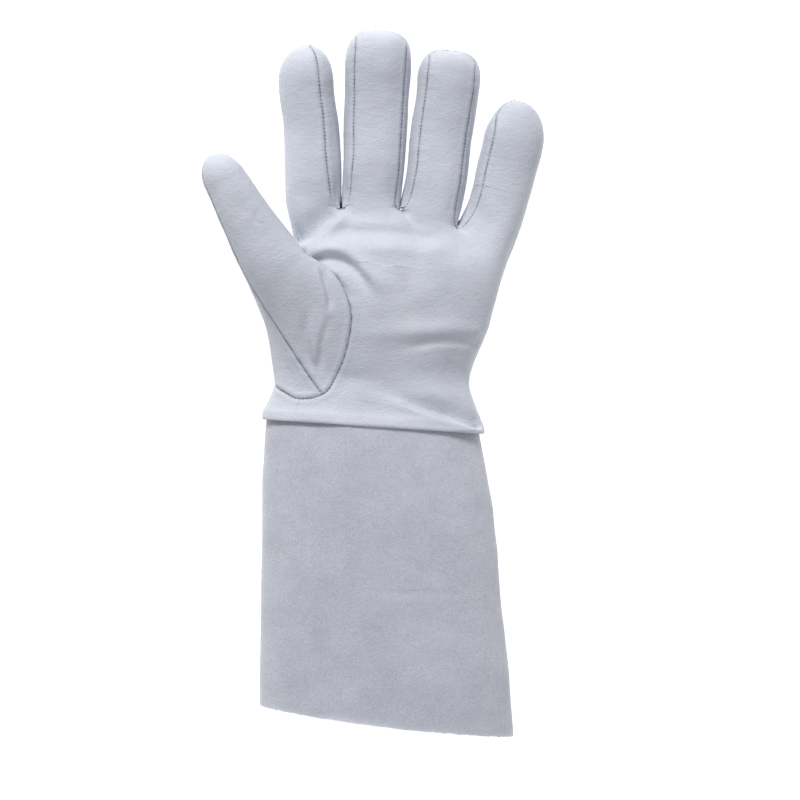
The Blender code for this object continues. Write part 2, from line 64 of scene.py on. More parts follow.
# %% Digits: centre lines, half widths, half depths, ends
MM = 0.001
DIGITS = {
    "index": dict(path=[(-30, 87.8, 16.5), (-30.6, 108, 14.3), (-31.6, 129, 13.4), (-34, 149, 14.4),
                        (-33.4, 168.8, 17)],
                  widths=(14.2, 14.0, 13.7, 13.8, 13.6), depths=(11.6, 11.6, 11.4, 11.2, 11.0),
                  end=19, square=2.0),
    "middle": dict(path=[(-2, 87, 16.5), (0, 109, 14.6), (0.8, 131, 13.6), (1.8, 153, 14.6),
                         (2.6, 175.7, 17.4)],
                   widths=(15.2, 15.2, 16.0, 16.4, 16.4), depths=(12.0, 12.0, 11.8, 11.6, 11.4),
                   end=21, square=3.1),
    "ring": dict(path=[(27, 81.5, 16.5), (31.4, 103, 14.4), (33.6, 124, 13.5), (37, 146, 14.6),
                       (38.8, 166.3, 17.2)],
                 widths=(15.0, 15.2, 15.4, 15.8, 15.6), depths=(11.7, 11.7, 11.5, 11.3, 11.0),
                 end=19, square=2.9),
    "little": dict(path=[(56.2, 71.6, 15.5), (61.9, 88.5, 13.6), (66.2, 105.5, 12.7), (70.4, 122.5, 13.6),
                         (71.2, 141.2, 15.8)],
                   widths=(14.6, 14.2, 14.8, 14.8, 14.2), depths=(11.0, 11.0, 10.9, 10.7, 10.4),
                   end=21, square=2.1),
    "thumb": dict(path=[(-31, 27, 22), (-42.5, 47, 28.5), (-53.5, 65, 32.5), (-63.6, 82, 34),
                        (-72.8, 98.6, 34.5), (-80.2, 113, 34.5)],
                  widths=(18.0, 16.8, 15.4, 12.9, 11.0, 9.8), depths=(16.0, 15.5, 14.0, 12.4, 11.4, 10.6),
                  end=14, square=2.0),
}
FINGERS = ("index", "middle", "ring", "little")
SECTION_SQUARE = 2.5
# The seams along each finger: angles of the palm-side panel's two edges and the back panel's.
FRONT = {"index": (65, 203), "middle": (36, 130), "ring": (40, 130), "little": (-23, 130)}
BACK = {"index": (203, 336), "middle": (203, 338), "ring": (203, 338), "little": (203, 337)}
# The thumb's front lies between the first two of its seams, its back between the last two.
THUMB_SEAMS = (-56, 150, 304)
THUMB_SEAM_SHIFT, THUMB_SEAM_SPREAD = 10, 35
THUMB_CROTCH_AT, THUMB_BLEND = -30, 44
# Each crotch's seam end on the palm side, and on the back, which lies further up the fingers.
CROTCH_FRONT = np.array([(-16.4, 87.8, 21), (12.4, 86.4, 21), (41.2, 76.8, 20)])
CROTCH_BACK = CROTCH_FRONT * [1, 1, 0] + [(0, 4.5, 9.5), (0, 4.5, 9.5), (0, 4.5, 9)]
# How far up a finger its seams lean over and how far its U reaches, and the lean's share of the
# pull. Round the finger the pull fades over CROTCH_SPREAD degrees.
CROTCH_REACH, CROTCH_ROUND, CROTCH_LEAN, CROTCH_SPREAD = 27, 4.6, 0.57, 100

# %% The hand, hem and cuff: rows of superellipse sections
# Each row: y at its left edge and right edge, x of both edges, height of the palm and of the back.
SKIRT_ROWS = [(-18.4, -25.8, -56.2, 55.6, 41.2, 0), (-14.4, -21.3, -55.8, 54.8, 39.9, 0.4)]
HAND_ROWS = [
    (-11, -17.5, -54, 53.2, 38, 2), (-5, -9, -50.8, 49.6, 36, 3.4), (2, 0, -48, 47.8, 34.4, 3),
    (13, 11, -46.8, 50.6, 35.6, 0.6), (28, 25, -44.8, 56, 37.2, -1), (45, 40, -41, 60.4, 37.4, -1.2),
    (62, 53, -37.4, 64, 35.4, -1), (76, 62, -40.8, 67, 31.8, 0.4), (87.8, 66.2, -43.6, 68.8, 28.6, 2.4),
]
CUFF_ROWS = [
    (-15, -21.8, -53, 52, 38, 3.4), (-19.4, -27, -53.6, 52.8, 39.9, 2.6),
    (-50, -58, -55.4, 58.4, 44.5, -0.2), (-88, -96, -56, 62.4, 47.5, -0.6),
    (-126, -135, -56.4, 66.2, 49.5, -0.6), (-160.5, -175.7, -56.6, 69.4, 51, -0.6),
]
HAND_SQUARE, CUFF_SQUARE, CUFF_SAG = 3.0, 2.7, 1.8
HEM_PLACE = -len(SKIRT_ROWS) / (len(HAND_ROWS) - 1)
# Places up the hand where the fingers' broad shape and their sharp shape begin to show.
FINGER_SHAPE_FROM, KNUCKLE_SHAPE_FROM, BROAD_MM = 0.75, 0.945, 9.0
# Angles of the outer seam at the wrist and at the little finger, and of the inner seam's top.
OUTER_SEAM, INNER_SEAM, PAST_EDGE = (-20, -7), 187, 0.3
# The thumb hole: how far up the hand it runs, and the angles of its palm-side and back-side edges.
HOLE_FROM, HOLE_TO = 0.08, 0.75
HOLE_NEAR = (126, 110.5, 105, 101, 104.5, 125, 178)
HOLE_FAR = (126, 143, 179, 192, 195, 190, 178)
print("rows of the hand:", len(HAND_ROWS), "and of the cuff:", len(CUFF_ROWS))

# %% [markdown]
# ## Curves and sections
# A smooth curve through a few values, an S-shaped step and the superellipse are enough to write
# every surface of the glove. All of them take whole arrays.

# %% Smooth curve, S step, superellipse


def through(values, t):
    """Catmull-Rom: at t between two neighbouring values, a cubic whose slope at each value is half
    the difference of the values on its two sides."""
    values = np.asarray(values, float)
    spans = len(values) - 1
    ends = np.concatenate([[2 * values[0] - values[1]], values, [2 * values[-1] - values[-2]]])
    place = np.clip(np.asarray(t, float), 0, 1) * spans
    i = np.minimum(place.astype(int), spans - 1)
    f = (place - i).reshape(place.shape + (1,) * (values.ndim - 1))
    p, a, b, q = (ends[i + k] for k in range(4))
    return a + 0.5 * f * (b - p + f * (2 * p - 5 * a + 4 * b - q + f * (3 * (a - b) + q - p)))


def smooth(x):
    """0 below 0, 1 above 1, and 3x^2 - 2x^3 between."""
    x = np.clip(x, 0, 1)
    return x * x * (3 - 2 * x)


def superellipse(degrees, square):
    """Cosine and sine of the angle, each raised to 2 / square with its sign kept."""
    c, s = np.cos(np.radians(degrees)), np.sin(np.radians(degrees))
    return np.sign(c) * np.abs(c) ** (2 / square), np.sign(s) * np.abs(s) ** (2 / square)


def unit(vectors):
    """Each vector over its own length."""
    return vectors / np.maximum(np.linalg.norm(vectors, axis=-1, keepdims=True), 1e-9)


def arc_length(line):
    """Length along a line of points, from 0 at its first point."""
    return np.concatenate([[0], np.cumsum(np.linalg.norm(np.diff(line, axis=0), axis=1))])


print("superellipse at 45 degrees:", np.round(superellipse(45.0, SECTION_SQUARE), 3))

# %% A digit's tube


PATH_STEPS, HEADING_STEP = 401, 0.02


class Digit:
    """A tube of superellipse sections along a curved centre line, closed at its tip."""

    def __init__(self, spec):
        self.spec = spec
        self.steps = np.linspace(0, 1, PATH_STEPS)
        self.along = arc_length(through(spec["path"], self.steps))
        self.length = self.along[-1]

    def frame(self, distance):
        """Centre, sideways direction, heading and palm direction at a distance up the digit."""
        t = np.interp(distance, self.along, self.steps)
        path = self.spec["path"]
        before, after = np.maximum(t - HEADING_STEP, 0), np.minimum(t + HEADING_STEP, 1)
        ahead = through(path, after) - through(path, before)
        heading = unit(ahead)
        side = unit(np.stack([heading[..., 1], -heading[..., 0], 0 * heading[..., 0]], axis=-1))
        return through(path, t), side, heading, np.cross(side, heading), t

    def closing(self, distance):
        """1 up the digit, then down to 0 at the tip along a superellipse's quarter."""
        past = np.clip((distance - self.length + self.spec["end"]) / self.spec["end"], 0, 1)
        return (1 - past ** self.spec["square"]) ** (1 / self.spec["square"])

    def point(self, degrees, distance):
        """Centre plus sideways times half width plus palmwards times half depth, both closing."""
        degrees, distance = np.broadcast_arrays(degrees, distance)
        centre, side, _, palm, t = self.frame(distance)
        c, s = superellipse(degrees, SECTION_SQUARE)
        close = self.closing(distance)
        across = c * through(self.spec["widths"], t) * close
        out = s * through(self.spec["depths"], t) * close
        return centre + side * across[..., None] + palm * out[..., None]


DIGIT = {name: Digit(spec) for name, spec in DIGITS.items()}
print("digit lengths:", {name: round(digit.length, 1) for name, digit in DIGIT.items()})

# %% A section of the hand or cuff


def section(rows, square, t, degrees, sag=0.0):
    """A superellipse between a row's left, right, top and bottom. It is cut flat where it rests,
    and y runs from the row's left value to its right value, with a sag between them."""
    t, degrees = np.broadcast_arrays(t, degrees)
    y_left, y_right, left, right, high, low = np.moveaxis(through(rows, t), -1, 0)
    c, s = superellipse(degrees, square)
    share = (c + 1) / 2
    x = (left + right) / 2 + c * (right - left) / 2
    y = y_left + (y_right - y_left) * share - sag * np.sin(np.pi * share) * t**3
    z = (high + low) / 2 + s * (high - low) / 2
    return np.stack([x, y, np.maximum(z, 0.0)], axis=-1)


def hand_section(place, degrees):
    """The hand's section: place 0 at the wrist fold, 1 at the crotches, below 0 the skirt."""
    rows = SKIRT_ROWS + HAND_ROWS
    return section(rows, HAND_SQUARE, (place - HEM_PLACE) / (1 - HEM_PLACE), degrees)


print("palm height at mid hand:", round(float(hand_section(0.5, 90.0)[2]), 1))

# %% [markdown]
# ## Fingers drawn into their crotches
# A glove finger isn't a loose tube: at its root each side bends into a U that it shares with its
# neighbour. The tube is therefore pulled to the crotch's seam ends. Most of the pull fades slowly
# up the finger, so that the seams lean together; the rest is a quarter circle, the U's round end.

# %% A finger's surface


def crotch_beside(name, side):
    """The crotch's palm-side and back seam ends beside a finger, or None at the hand's edges."""
    i = FINGERS.index(name) - (side == "left")
    if not 0 <= i < len(CROTCH_FRONT):
        return None
    return CROTCH_FRONT[i], CROTCH_BACK[i]


def finger(name, degrees, distance):
    """The tube, moved at its root so that between its two seams each side reaches the crotch."""
    degrees, distance = np.broadcast_arrays(np.asarray(degrees, float), np.asarray(distance, float))
    points = DIGIT[name].point(degrees, distance)
    lean = (1 - np.clip(distance / CROTCH_REACH, 0, 1)) ** 2
    bowl = 1 - np.sqrt(1 - (1 - np.clip(distance / CROTCH_ROUND, 0, 1)) ** 2)
    near = CROTCH_LEAN * lean + (1 - CROTCH_LEAN) * bowl
    for side in ("right", "left"):
        ends = crotch_beside(name, side)
        if ends is None:
            continue
        if side == "right":
            low, high = BACK[name][1] - 360, FRONT[name][0]
            angle = (degrees + 180) % 360 - 180
            share = np.clip((angle - low) / (high - low), 0, 1)
        else:
            low, high = FRONT[name][1], BACK[name][0]
            angle = degrees % 360
            share = np.clip((high - angle) / (high - low), 0, 1)
        seam = np.clip(angle, low, high)
        target = ends[1] + (ends[0] - ends[1]) * share[..., None]
        weight = np.clip(1 - np.abs(angle - seam) / CROTCH_SPREAD, 0, 1) ** 3 * near
        points = points + (target - DIGIT[name].point(seam, 0.0)) * weight[..., None]
    return points


print("root of the index finger, palm side:", np.round(finger("index", 90.0, 0.0), 1))

# %% [markdown]
# ## The palm and the back
# Both panels are grids whose columns run from the hem up to the roots of the fingers, so a
# column on the palm goes on as a column of its finger. The thumb hole is cut by letting the inner
# edge follow the hole's own curve.

# %% Edges of the hand's panels


def hole_edge(along, near):
    """Place up the hand and angle of the thumb hole's edge, along from 0 at its bottom to 1."""
    place = HOLE_FROM + (HOLE_TO - HOLE_FROM) * (1 - np.cos(np.pi * along)) / 2
    return place, through(HOLE_NEAR if near else HOLE_FAR, along)


def inner_edge(place, front, top):
    """Angle at which a hand panel ends on the thumb's side, and beside the finger at top."""
    along = np.arccos(np.clip(1 - 2 * (place - HOLE_FROM) / (HOLE_TO - HOLE_FROM), -1, 1)) / np.pi
    above = HOLE_NEAR[-1] + (top - HOLE_NEAR[-1]) * (place - HOLE_TO) / (1 - HOLE_TO)
    return np.where(place > HOLE_TO, above, hole_edge(along, front)[1])


def hand_panel(names, angles, place, front):
    """The hand's own section low down. Higher up the finger roots' offset from it fades in, its
    average over BROAD_MM first and its sharp part only near the crotches. The columns keep their
    share of the way between the panel's two edges."""
    root = np.concatenate([finger(name, angles[name], 0.0) for name in names])
    digit_angle = np.concatenate([angles[name] for name in names])
    left, right = HAND_ROWS[-1][2:4]
    across = np.clip((2 * root[:, 0] - left - right) / (right - left), -1, 1)
    upper = np.degrees(np.arccos(np.sign(across) * np.abs(across) ** (HAND_SQUARE / 2)))
    if front:
        home = np.where(digit_angle < 0, digit_angle * PAST_EDGE, upper)
        home = np.where(digit_angle > 180, 180 + (digit_angle - 180) * PAST_EDGE, home)
    else:
        home = np.clip(360 - upper, INNER_SEAM, 360 + OUTER_SEAM[1])
    place = place[:, None]
    outer_top, inner_top = (home[0], home[-1]) if front else (home[-1], home[0])
    outer_wrist = OUTER_SEAM[0] + (0 if front else 360)
    outer = outer_wrist + (outer_top - outer_wrist) * np.clip(place, 0, 1)
    inner = inner_edge(place, front, inner_top)
    low, high = (outer, inner) if front else (inner, outer)
    share = (home - home[0]) / (home[-1] - home[0])
    own = hand_section(place, low + (high - low) * share)
    offset = root - hand_section(1.0, home)
    along = arc_length(hand_section(1.0, home))
    near = np.exp(-(((along[:, None] - along) / BROAD_MM) ** 2))
    weights = near * (np.gradient(along) + 1e-3)
    broad = weights @ offset / weights.sum(axis=1, keepdims=True)
    # At its two edges the average is the offset itself, so that palm and back meet all the way.
    broad += near[:, :1] * (offset[0] - broad[0]) + near[:, -1:] * (offset[-1] - broad[-1])
    fade = smooth((place - FINGER_SHAPE_FROM) / (1 - FINGER_SHAPE_FROM))[..., None]
    fine_fade = smooth((place - KNUCKLE_SHAPE_FROM) / (1 - KNUCKLE_SHAPE_FROM))[..., None]
    return own + broad * fade + (offset - broad) * fine_fade


print("half way up the thumb hole, place and angle:", np.round(hole_edge(0.5, True), 2))

# %% [markdown]
# ## Grids
# A shape keeps its smooth look across a border between two meshes only if both sides have the
# same normals there. So each grid starts and ends with one very thin row or column, and the
# normals that move points in or out are worked out on all the grids together.

# %% Spacing of rows and columns
ROW_STEP, THIN, THIN_DEGREES = 0.6, 0.08, 0.4


def steps_between(low, high, step=ROW_STEP):
    """Evenly spaced values with one thin step at each end."""
    count = max(int(round((high - low) / step)), 2)
    return np.concatenate([[low], np.linspace(low + THIN, high - THIN, count), [high]])


def seam_to_seam(low, high, count):
    """Angles from seam to seam, closer together beside the seams, where the leather dips."""
    u = np.linspace(0, 1, count)
    u = u - 0.5 * np.sin(2 * np.pi * u) / (2 * np.pi)
    inner = low + THIN_DEGREES + (high - low - 2 * THIN_DEGREES) * u
    return np.concatenate([[low], inner, [high]])


FRONT_COLUMNS = {"index": 46, "middle": 40, "ring": 40, "little": 48}
BACK_COLUMNS, FOURCHETTE_COLUMNS = 42, 20
front_angles = {name: seam_to_seam(*FRONT[name], FRONT_COLUMNS[name]) for name in FINGERS}
back_angles = {name: seam_to_seam(*BACK[name], BACK_COLUMNS) for name in FINGERS}
print("columns of the palm:", sum(len(angles) for angles in front_angles.values()))

# %% Where each digit's pieces split and bend
# Distance up the digit: where the root piece ends, and how far each joint's bend reaches.
SPLIT_AT = {"index": 28.0, "middle": 30.0, "ring": 29.5, "little": 25.0, "thumb": 62.5}
BEND = {
    "root": {"index": (2.5, 25), "middle": (2.5, 27), "ring": (3.0, 26), "little": (2.0, 24),
             "thumb": (39.5, 62)},
    "tip": {"index": (29, 57), "middle": (31, 61), "ring": (30.5, 59.5), "little": (26, 48.5),
            "thumb": (63, 85)},
}
TIP_ROWS = 36


def tip_distances(digit, start):
    """Rows up the straight part, then rows closer together round the end, down to the pole."""
    sweep = np.radians(np.linspace(0, 90, TIP_ROWS + 1))[1:]
    end = digit.spec["end"]
    bend = digit.length - end
    return np.concatenate([steps_between(start, bend)[:-1], bend + end * np.sin(sweep)])


print("rows of a fingertip:", len(tip_distances(DIGIT["index"], SPLIT_AT["index"])))

# %% The hand's two grids
# The thumb's columns start at the hole's rows, so the hole has one row for each of them.
THUMB_COLUMN_DEGREES = 2
HOLE_ROWS = 180 // THUMB_COLUMN_DEGREES + 1
HEM_EDGE = HEM_PLACE + 0.055
HEM_TO_FOLD_ROWS, FOLD_TO_HOLE_ROWS, HOLE_TO_CROTCH_ROWS = 12, 8, 38
below_hole = np.concatenate([
    np.linspace(HEM_EDGE, 0, HEM_TO_FOLD_ROWS + 1)[:-1],
    np.linspace(0, HOLE_FROM, FOLD_TO_HOLE_ROWS + 1)[:-1],
])
hand_places = np.concatenate([
    below_hole, hole_edge(np.linspace(0, 1, HOLE_ROWS), True)[0],
    np.linspace(HOLE_TO, 1, HOLE_TO_CROTCH_ROWS + 2)[1:-1], [0.997, 1.0],
])
hole_rows = slice(len(below_hole), len(below_hole) + HOLE_ROWS)
grids = {"palm": hand_panel(FINGERS[::-1], front_angles, hand_places, True),
         "back": hand_panel(FINGERS, back_angles, hand_places, False)}
print("hand grids:", grids["palm"].shape, grids["back"].shape)

# %% [markdown]
# ## Finger and thumb grids
# Each finger is a front, a back and the fourchettes beside it. Near the crotch the rows lie
# closer together, because the U turns fast there. The thumb's columns start on the very points
# of the hole's edge, so its first row is the seam.

# %% Rows and columns of the fingers
CLOSE_ROWS_TO, CLOSE_ROWS = 17.0, 45


def root_distances(name):
    """Distance up the finger as a square near the crotch, then even steps to the split."""
    near = CLOSE_ROWS_TO * np.linspace(0, 1, CLOSE_ROWS + 1) ** 2
    return np.concatenate([near[:-1], steps_between(CLOSE_ROWS_TO, SPLIT_AT[name])])


def finger_columns(name):
    """Angles of each of a finger's panels, from seam to seam."""
    front, back = FRONT[name], BACK[name]
    columns = {"front": front_angles[name], "back": back_angles[name]}
    if crotch_beside(name, "right") is not None:
        columns["right_fourchette"] = seam_to_seam(back[1] - 360, front[0], FOURCHETTE_COLUMNS)
    if crotch_beside(name, "left") is not None:
        columns["left_fourchette"] = seam_to_seam(front[1], back[0], FOURCHETTE_COLUMNS)
    return columns


print("panels of the middle finger:", list(finger_columns("middle")))

# %% Finger grids
# How near to the side of the tube, as a cosine, a seam keeps while the tip closes.
TIP_CORNER = {"index": 0.0, "middle": 0.96, "ring": 0.96, "little": 0.9}


def kept_apart(name, angles, distance):
    """Near the tip the tube narrows by closing(distance), so a seam at a fixed angle would lean to
    the middle. The seams' cosines grow by the same factor, up to TIP_CORNER, and the columns keep
    their shares between the seams."""
    lines = np.array([angles[0], angles[-1]])
    c = np.cos(np.radians(lines))
    own = np.abs(c) ** (2 / SECTION_SQUARE)
    wide = own / np.maximum(DIGIT[name].closing(distance), 1e-3)
    wide = np.minimum(wide, np.maximum(TIP_CORNER[name], own))
    up = np.where(np.sin(np.radians(lines)) < 0, -1.0, 1.0)
    moved = up * np.degrees(np.arccos(np.sign(c) * wide ** (SECTION_SQUARE / 2)))
    moved = moved + 360 * np.round((lines - moved) / 360)
    share = (angles - angles[0]) / (angles[-1] - angles[0])
    return moved[:, :1] * (1 - share) + moved[:, 1:] * share


for name in FINGERS:
    root = root_distances(name)[:, None]
    tip = tip_distances(DIGIT[name], SPLIT_AT[name])[:, None]
    for panel, angles in finger_columns(name).items():
        grids[f"{name}_root_{panel}"] = finger(name, angles, root)
        grids[f"{name}_tip_{panel}"] = finger(name, kept_apart(name, angles, tip), tip)
print("index front:", grids["index_root_front"].shape, "tip:", grids["index_tip_front"].shape)

# %% Thumb grids
THUMB_ROW_STEP = 0.7


def thumb(degrees, distance, loop):
    """Leaves the hole's seam and turns into the thumb's tube over THUMB_BLEND millimetres. By the
    crotch it leaves along the tube's own direction, so that it clears the palm."""
    turned = smooth(distance / THUMB_BLEND)[..., None]
    from_seam = (degrees - THUMB_SEAMS[1]) / THUMB_SEAM_SPREAD
    degrees = degrees + THUMB_SEAM_SHIFT * np.exp(-(from_seam**2))
    tube = DIGIT["thumb"].point(degrees, distance)
    run = tube - DIGIT["thumb"].point(degrees, 0.0)
    by_crotch = ((1 + np.cos(np.radians(degrees - THUMB_CROTCH_AT))) / 2)[..., None]
    return tube * turned + (loop + run * by_crotch) * (1 - turned)


palm_hole, back_hole = grids["palm"][hole_rows, -1], grids["back"][hole_rows, 0]
root = steps_between(0, SPLIT_AT["thumb"], THUMB_ROW_STEP)[:, None]
tip = tip_distances(DIGIT["thumb"], SPLIT_AT["thumb"])[:, None]
for panel, low, high in (("front", *THUMB_SEAMS[:2]), ("back", *THUMB_SEAMS[1:])):
    degrees = np.arange(low, high + 1, THUMB_COLUMN_DEGREES)
    turn = degrees % 360
    row = np.abs(180 - turn) // THUMB_COLUMN_DEGREES
    loop = np.where((turn < 180)[:, None], palm_hole[row], back_hole[row])
    grids[f"thumb_root_{panel}"] = thumb(degrees, root, loop)
    grids[f"thumb_tip_{panel}"] = thumb(degrees, tip, loop)
hole_loop = np.concatenate([palm_hole, back_hole[-2::-1]])
print("thumb root front:", grids["thumb_root_front"].shape, "hole loop:", hole_loop.shape)

# %% [markdown]
# ## Easing the palm into the fingers
# The palm's formula and a finger's meet at the crotch line with a slight angle between them. A
# Hermite curve carries each column over the line, except at the crotches themselves.

# %% Ease the crotch line
EASE_BELOW, EASE_ABOVE, CROTCH_KEEP = 9.0, 9.0, 5.0


def ease(below, above, keep):
    """A column between the two ends is replaced by the Hermite cubic with their points and slopes,
    by the share keep of each column."""
    stack = np.concatenate([below, above[1:]])
    border = len(below) - 1
    run = np.linalg.norm(np.diff(stack, axis=0), axis=-1)
    s = np.concatenate([np.zeros((1, stack.shape[1])), np.cumsum(run, axis=0)])
    s = s - s[border]
    first = int(np.argmin(np.abs(s.mean(axis=1) + EASE_BELOW)))
    last = int(np.argmin(np.abs(s.mean(axis=1) - EASE_ABOVE)))
    width = s[last] - s[first]
    slope = [(stack[i + 1] - stack[i - 1]) / (s[i + 1] - s[i - 1])[:, None] for i in (first, last)]
    u = ((s[first:last + 1] - s[first]) / width)[..., None]
    width = width[None, :, None]
    curve = (stack[first] * (1 + 2 * u) * (1 - u) ** 2 + slope[0] * width * u * (1 - u) ** 2
             + stack[last] * u * u * (3 - 2 * u) + slope[1] * width * u * u * (u - 1))
    stack[first:last + 1] += (curve - stack[first:last + 1]) * keep[None, :, None]
    return stack[:border + 1], stack[border:]


for panel, names, angles, crotches in (("palm", FINGERS[::-1], front_angles, CROTCH_FRONT),
                                       ("back", FINGERS, back_angles, CROTCH_BACK)):
    column = 0
    for name in names:
        block = slice(column, column + len(angles[name]))
        side = "front" if panel == "palm" else "back"
        key = f"{name}_root_{side}"
        line = grids[key][0]
        apart = np.linalg.norm(line[:, None] - crotches, axis=-1).min(axis=1)
        eased = ease(grids[panel][:, block], grids[key], 1 - np.exp(-(apart / CROTCH_KEEP) ** 2))
        grids[panel][:, block], grids[key] = eased
        column = block.stop
    shared = np.cumsum([len(angles[name]) for name in names])[:-1]
    grids[panel] = np.delete(grids[panel], shared, axis=1)
print("palm grid without its doubled columns:", grids["palm"].shape)

# %% [markdown]
# ## The hem
# The hand ends in a hem: the leather is turned in round a soft edge and goes back up inside, so
# the hem stands proud of the cuff and throws a thin shadow on it.

# %% Roll the hem
HEM_ROLL, HEM_DROP, HEM_INSIDE_ROWS, HEM_ROLL_ROWS = 1.0, 1.7, 8, 14
HEM_SLOPE_ROW, HEM_MIDDLE_HEIGHT = 4, 21.0


def square_to(vectors, direction):
    """The part of each vector at right angles to a unit direction, made unit length."""
    return unit(vectors - direction * (vectors * direction).sum(axis=-1, keepdims=True))


def roll_hem(grid, middle):
    """Rows before the first: up inside at an even distance from the wall, then half an ellipse
    out to the edge."""
    edge = grid[0]
    down = unit(edge - grid[HEM_SLOPE_ROW])
    inwards = square_to(middle - edge, down)
    turn = np.linspace(np.pi, 0, HEM_ROLL_ROWS + 1)[:-1, None, None]
    roll = edge + inwards * HEM_ROLL * (1 - np.cos(turn)) + down * HEM_DROP * np.sin(turn)
    inside = grid[HEM_INSIDE_ROWS:0:-1] + inwards * 2 * HEM_ROLL
    return np.concatenate([inside, roll, grid])


hem_middle = np.array([0.0, grids["palm"][0, :, 1].mean(), HEM_MIDDLE_HEIGHT])
for panel in ("palm", "back"):
    grids[panel] = roll_hem(grids[panel], hem_middle)
HEM_ROWS = HEM_INSIDE_ROWS + HEM_ROLL_ROWS
hand_places = np.concatenate([np.full(HEM_ROWS, HEM_EDGE), hand_places])
hole_rows = slice(hole_rows.start + HEM_ROWS, hole_rows.stop + HEM_ROWS)
print("palm grid with its hem:", grids["palm"].shape)

# %% [markdown]
# ## Normals shared by all the grids
# A point that lies in two grids has to move the same way in both, or a crack opens. The quad
# normals are added up over every grid at once, point by point.

# %% Shared normals
WELD_MM, CELL_BITS = 0.001, 21


def shared_normals(grids):
    """Each quad's normal, the cross product of its diagonals, is added to its four corners.
    Corners that round to the same WELD_MM cell, numbered by its x, y and z, share one sum."""
    points = np.concatenate([grid.reshape(-1, 3) for grid in grids.values()])
    cell = np.round(points / WELD_MM).astype(np.int64) + 2 ** (CELL_BITS - 2)
    number = (cell[:, 0] << 2 * CELL_BITS) + (cell[:, 1] << CELL_BITS) + cell[:, 2]
    _, home = np.unique(number, return_inverse=True)
    total = np.zeros((home.max() + 1, 3))
    start, index = 0, {}
    for name, grid in grids.items():
        at = home[start:start + grid[..., 0].size].reshape(grid.shape[:2])
        start += at.size
        index[name] = at
        normal = np.cross(grid[1:, :-1] - grid[:-1, 1:], grid[1:, 1:] - grid[:-1, :-1])
        for corner in (at[:-1, :-1], at[1:, :-1], at[1:, 1:], at[:-1, 1:]):
            np.add.at(total, corner, normal)
    total = unit(total)
    return {name: total[i] for name, i in index.items()}


normals = shared_normals(grids)
print("points in all grids:", sum(grid[..., 0].size for grid in grids.values()))

# %% [markdown]
# ## Relief: seams
# The gloves' seams are sewn with the edges turned in, so from outside each one is a crisp
# valley between two low swellings, drawn in a little more at every stitch.

# %% Distance to a curve, and along it


def beside(points, path):
    """Distance from each point to a line through the path's points, how far along the nearest
    place is, and the side: 1 to the left of the path seen from above, -1 to its right."""
    flat = points.reshape(-1, points.shape[-1])
    a, step = path[:-1], np.diff(path, axis=0)
    lengths = np.linalg.norm(step, axis=1)
    offset = flat[:, None] - a
    share = np.clip((offset * step).sum(axis=-1) / lengths**2, 0, 1)
    gap = np.linalg.norm(offset - share[..., None] * step, axis=-1)
    best = gap.argmin(axis=1)
    rows = np.arange(len(flat))
    along = arc_length(path)[best] + share[rows, best] * lengths[best]
    turn = step[best, 0] * offset[rows, best, 1] - step[best, 1] * offset[rows, best, 0]
    shape = points.shape[:-1]
    return gap[rows, best].reshape(shape), along.reshape(shape), np.sign(turn).reshape(shape)


print("from the hem to the thumb hole in mm:", np.round(beside(grids["palm"][:1, 0], hole_loop)[0], 1))

# %% The valley at a seam
STITCH, STITCH_PULL = 1.8, 0.55
SEAM_DEPTH, SEAM_WIDTH = 0.5, 0.5
SWELL_HEIGHT, SWELL_AT, SWELL_WIDTH = 0.26, 1.9, 1.3
PUCKER_HEIGHT, PUCKER_REACH = 0.05, 3


def seam_relief(away, along):
    """Minus an exponential with a cusp at the seam, deeper once a stitch, plus a bell beside it."""
    pull = 1 + STITCH_PULL * np.cos(2 * np.pi * along / STITCH)
    dip = SEAM_DEPTH * pull * np.exp(-away / SEAM_WIDTH)
    swell = SWELL_HEIGHT * np.exp(-(((away - SWELL_AT) / SWELL_WIDTH) ** 2))
    wave = np.sin(2 * np.pi * along / (3 * STITCH))
    return swell + PUCKER_HEIGHT * wave * np.exp(-away / PUCKER_REACH) - dip


def edge_seam(grid, edge, start=0.0):
    """Distance from each point to the edge point of its own row, and length along that edge."""
    line = grid[:, edge]
    along = start + arc_length(line)
    away = np.linalg.norm(grid - line[:, None], axis=-1)
    return away, np.broadcast_to(along[:, None], away.shape)


def nearest(*seams):
    """The nearest of several seams at each point: its distance and the length along it."""
    away = np.stack([seam[0] for seam in seams])
    along = np.stack([np.broadcast_to(seam[1], seam[0].shape) for seam in seams])
    pick = away.argmin(axis=0)[None]
    return np.take_along_axis(away, pick, 0)[0], np.take_along_axis(along, pick, 0)[0]


print("relief on a seam in mm:", round(float(seam_relief(0.0, 0.0)), 2))

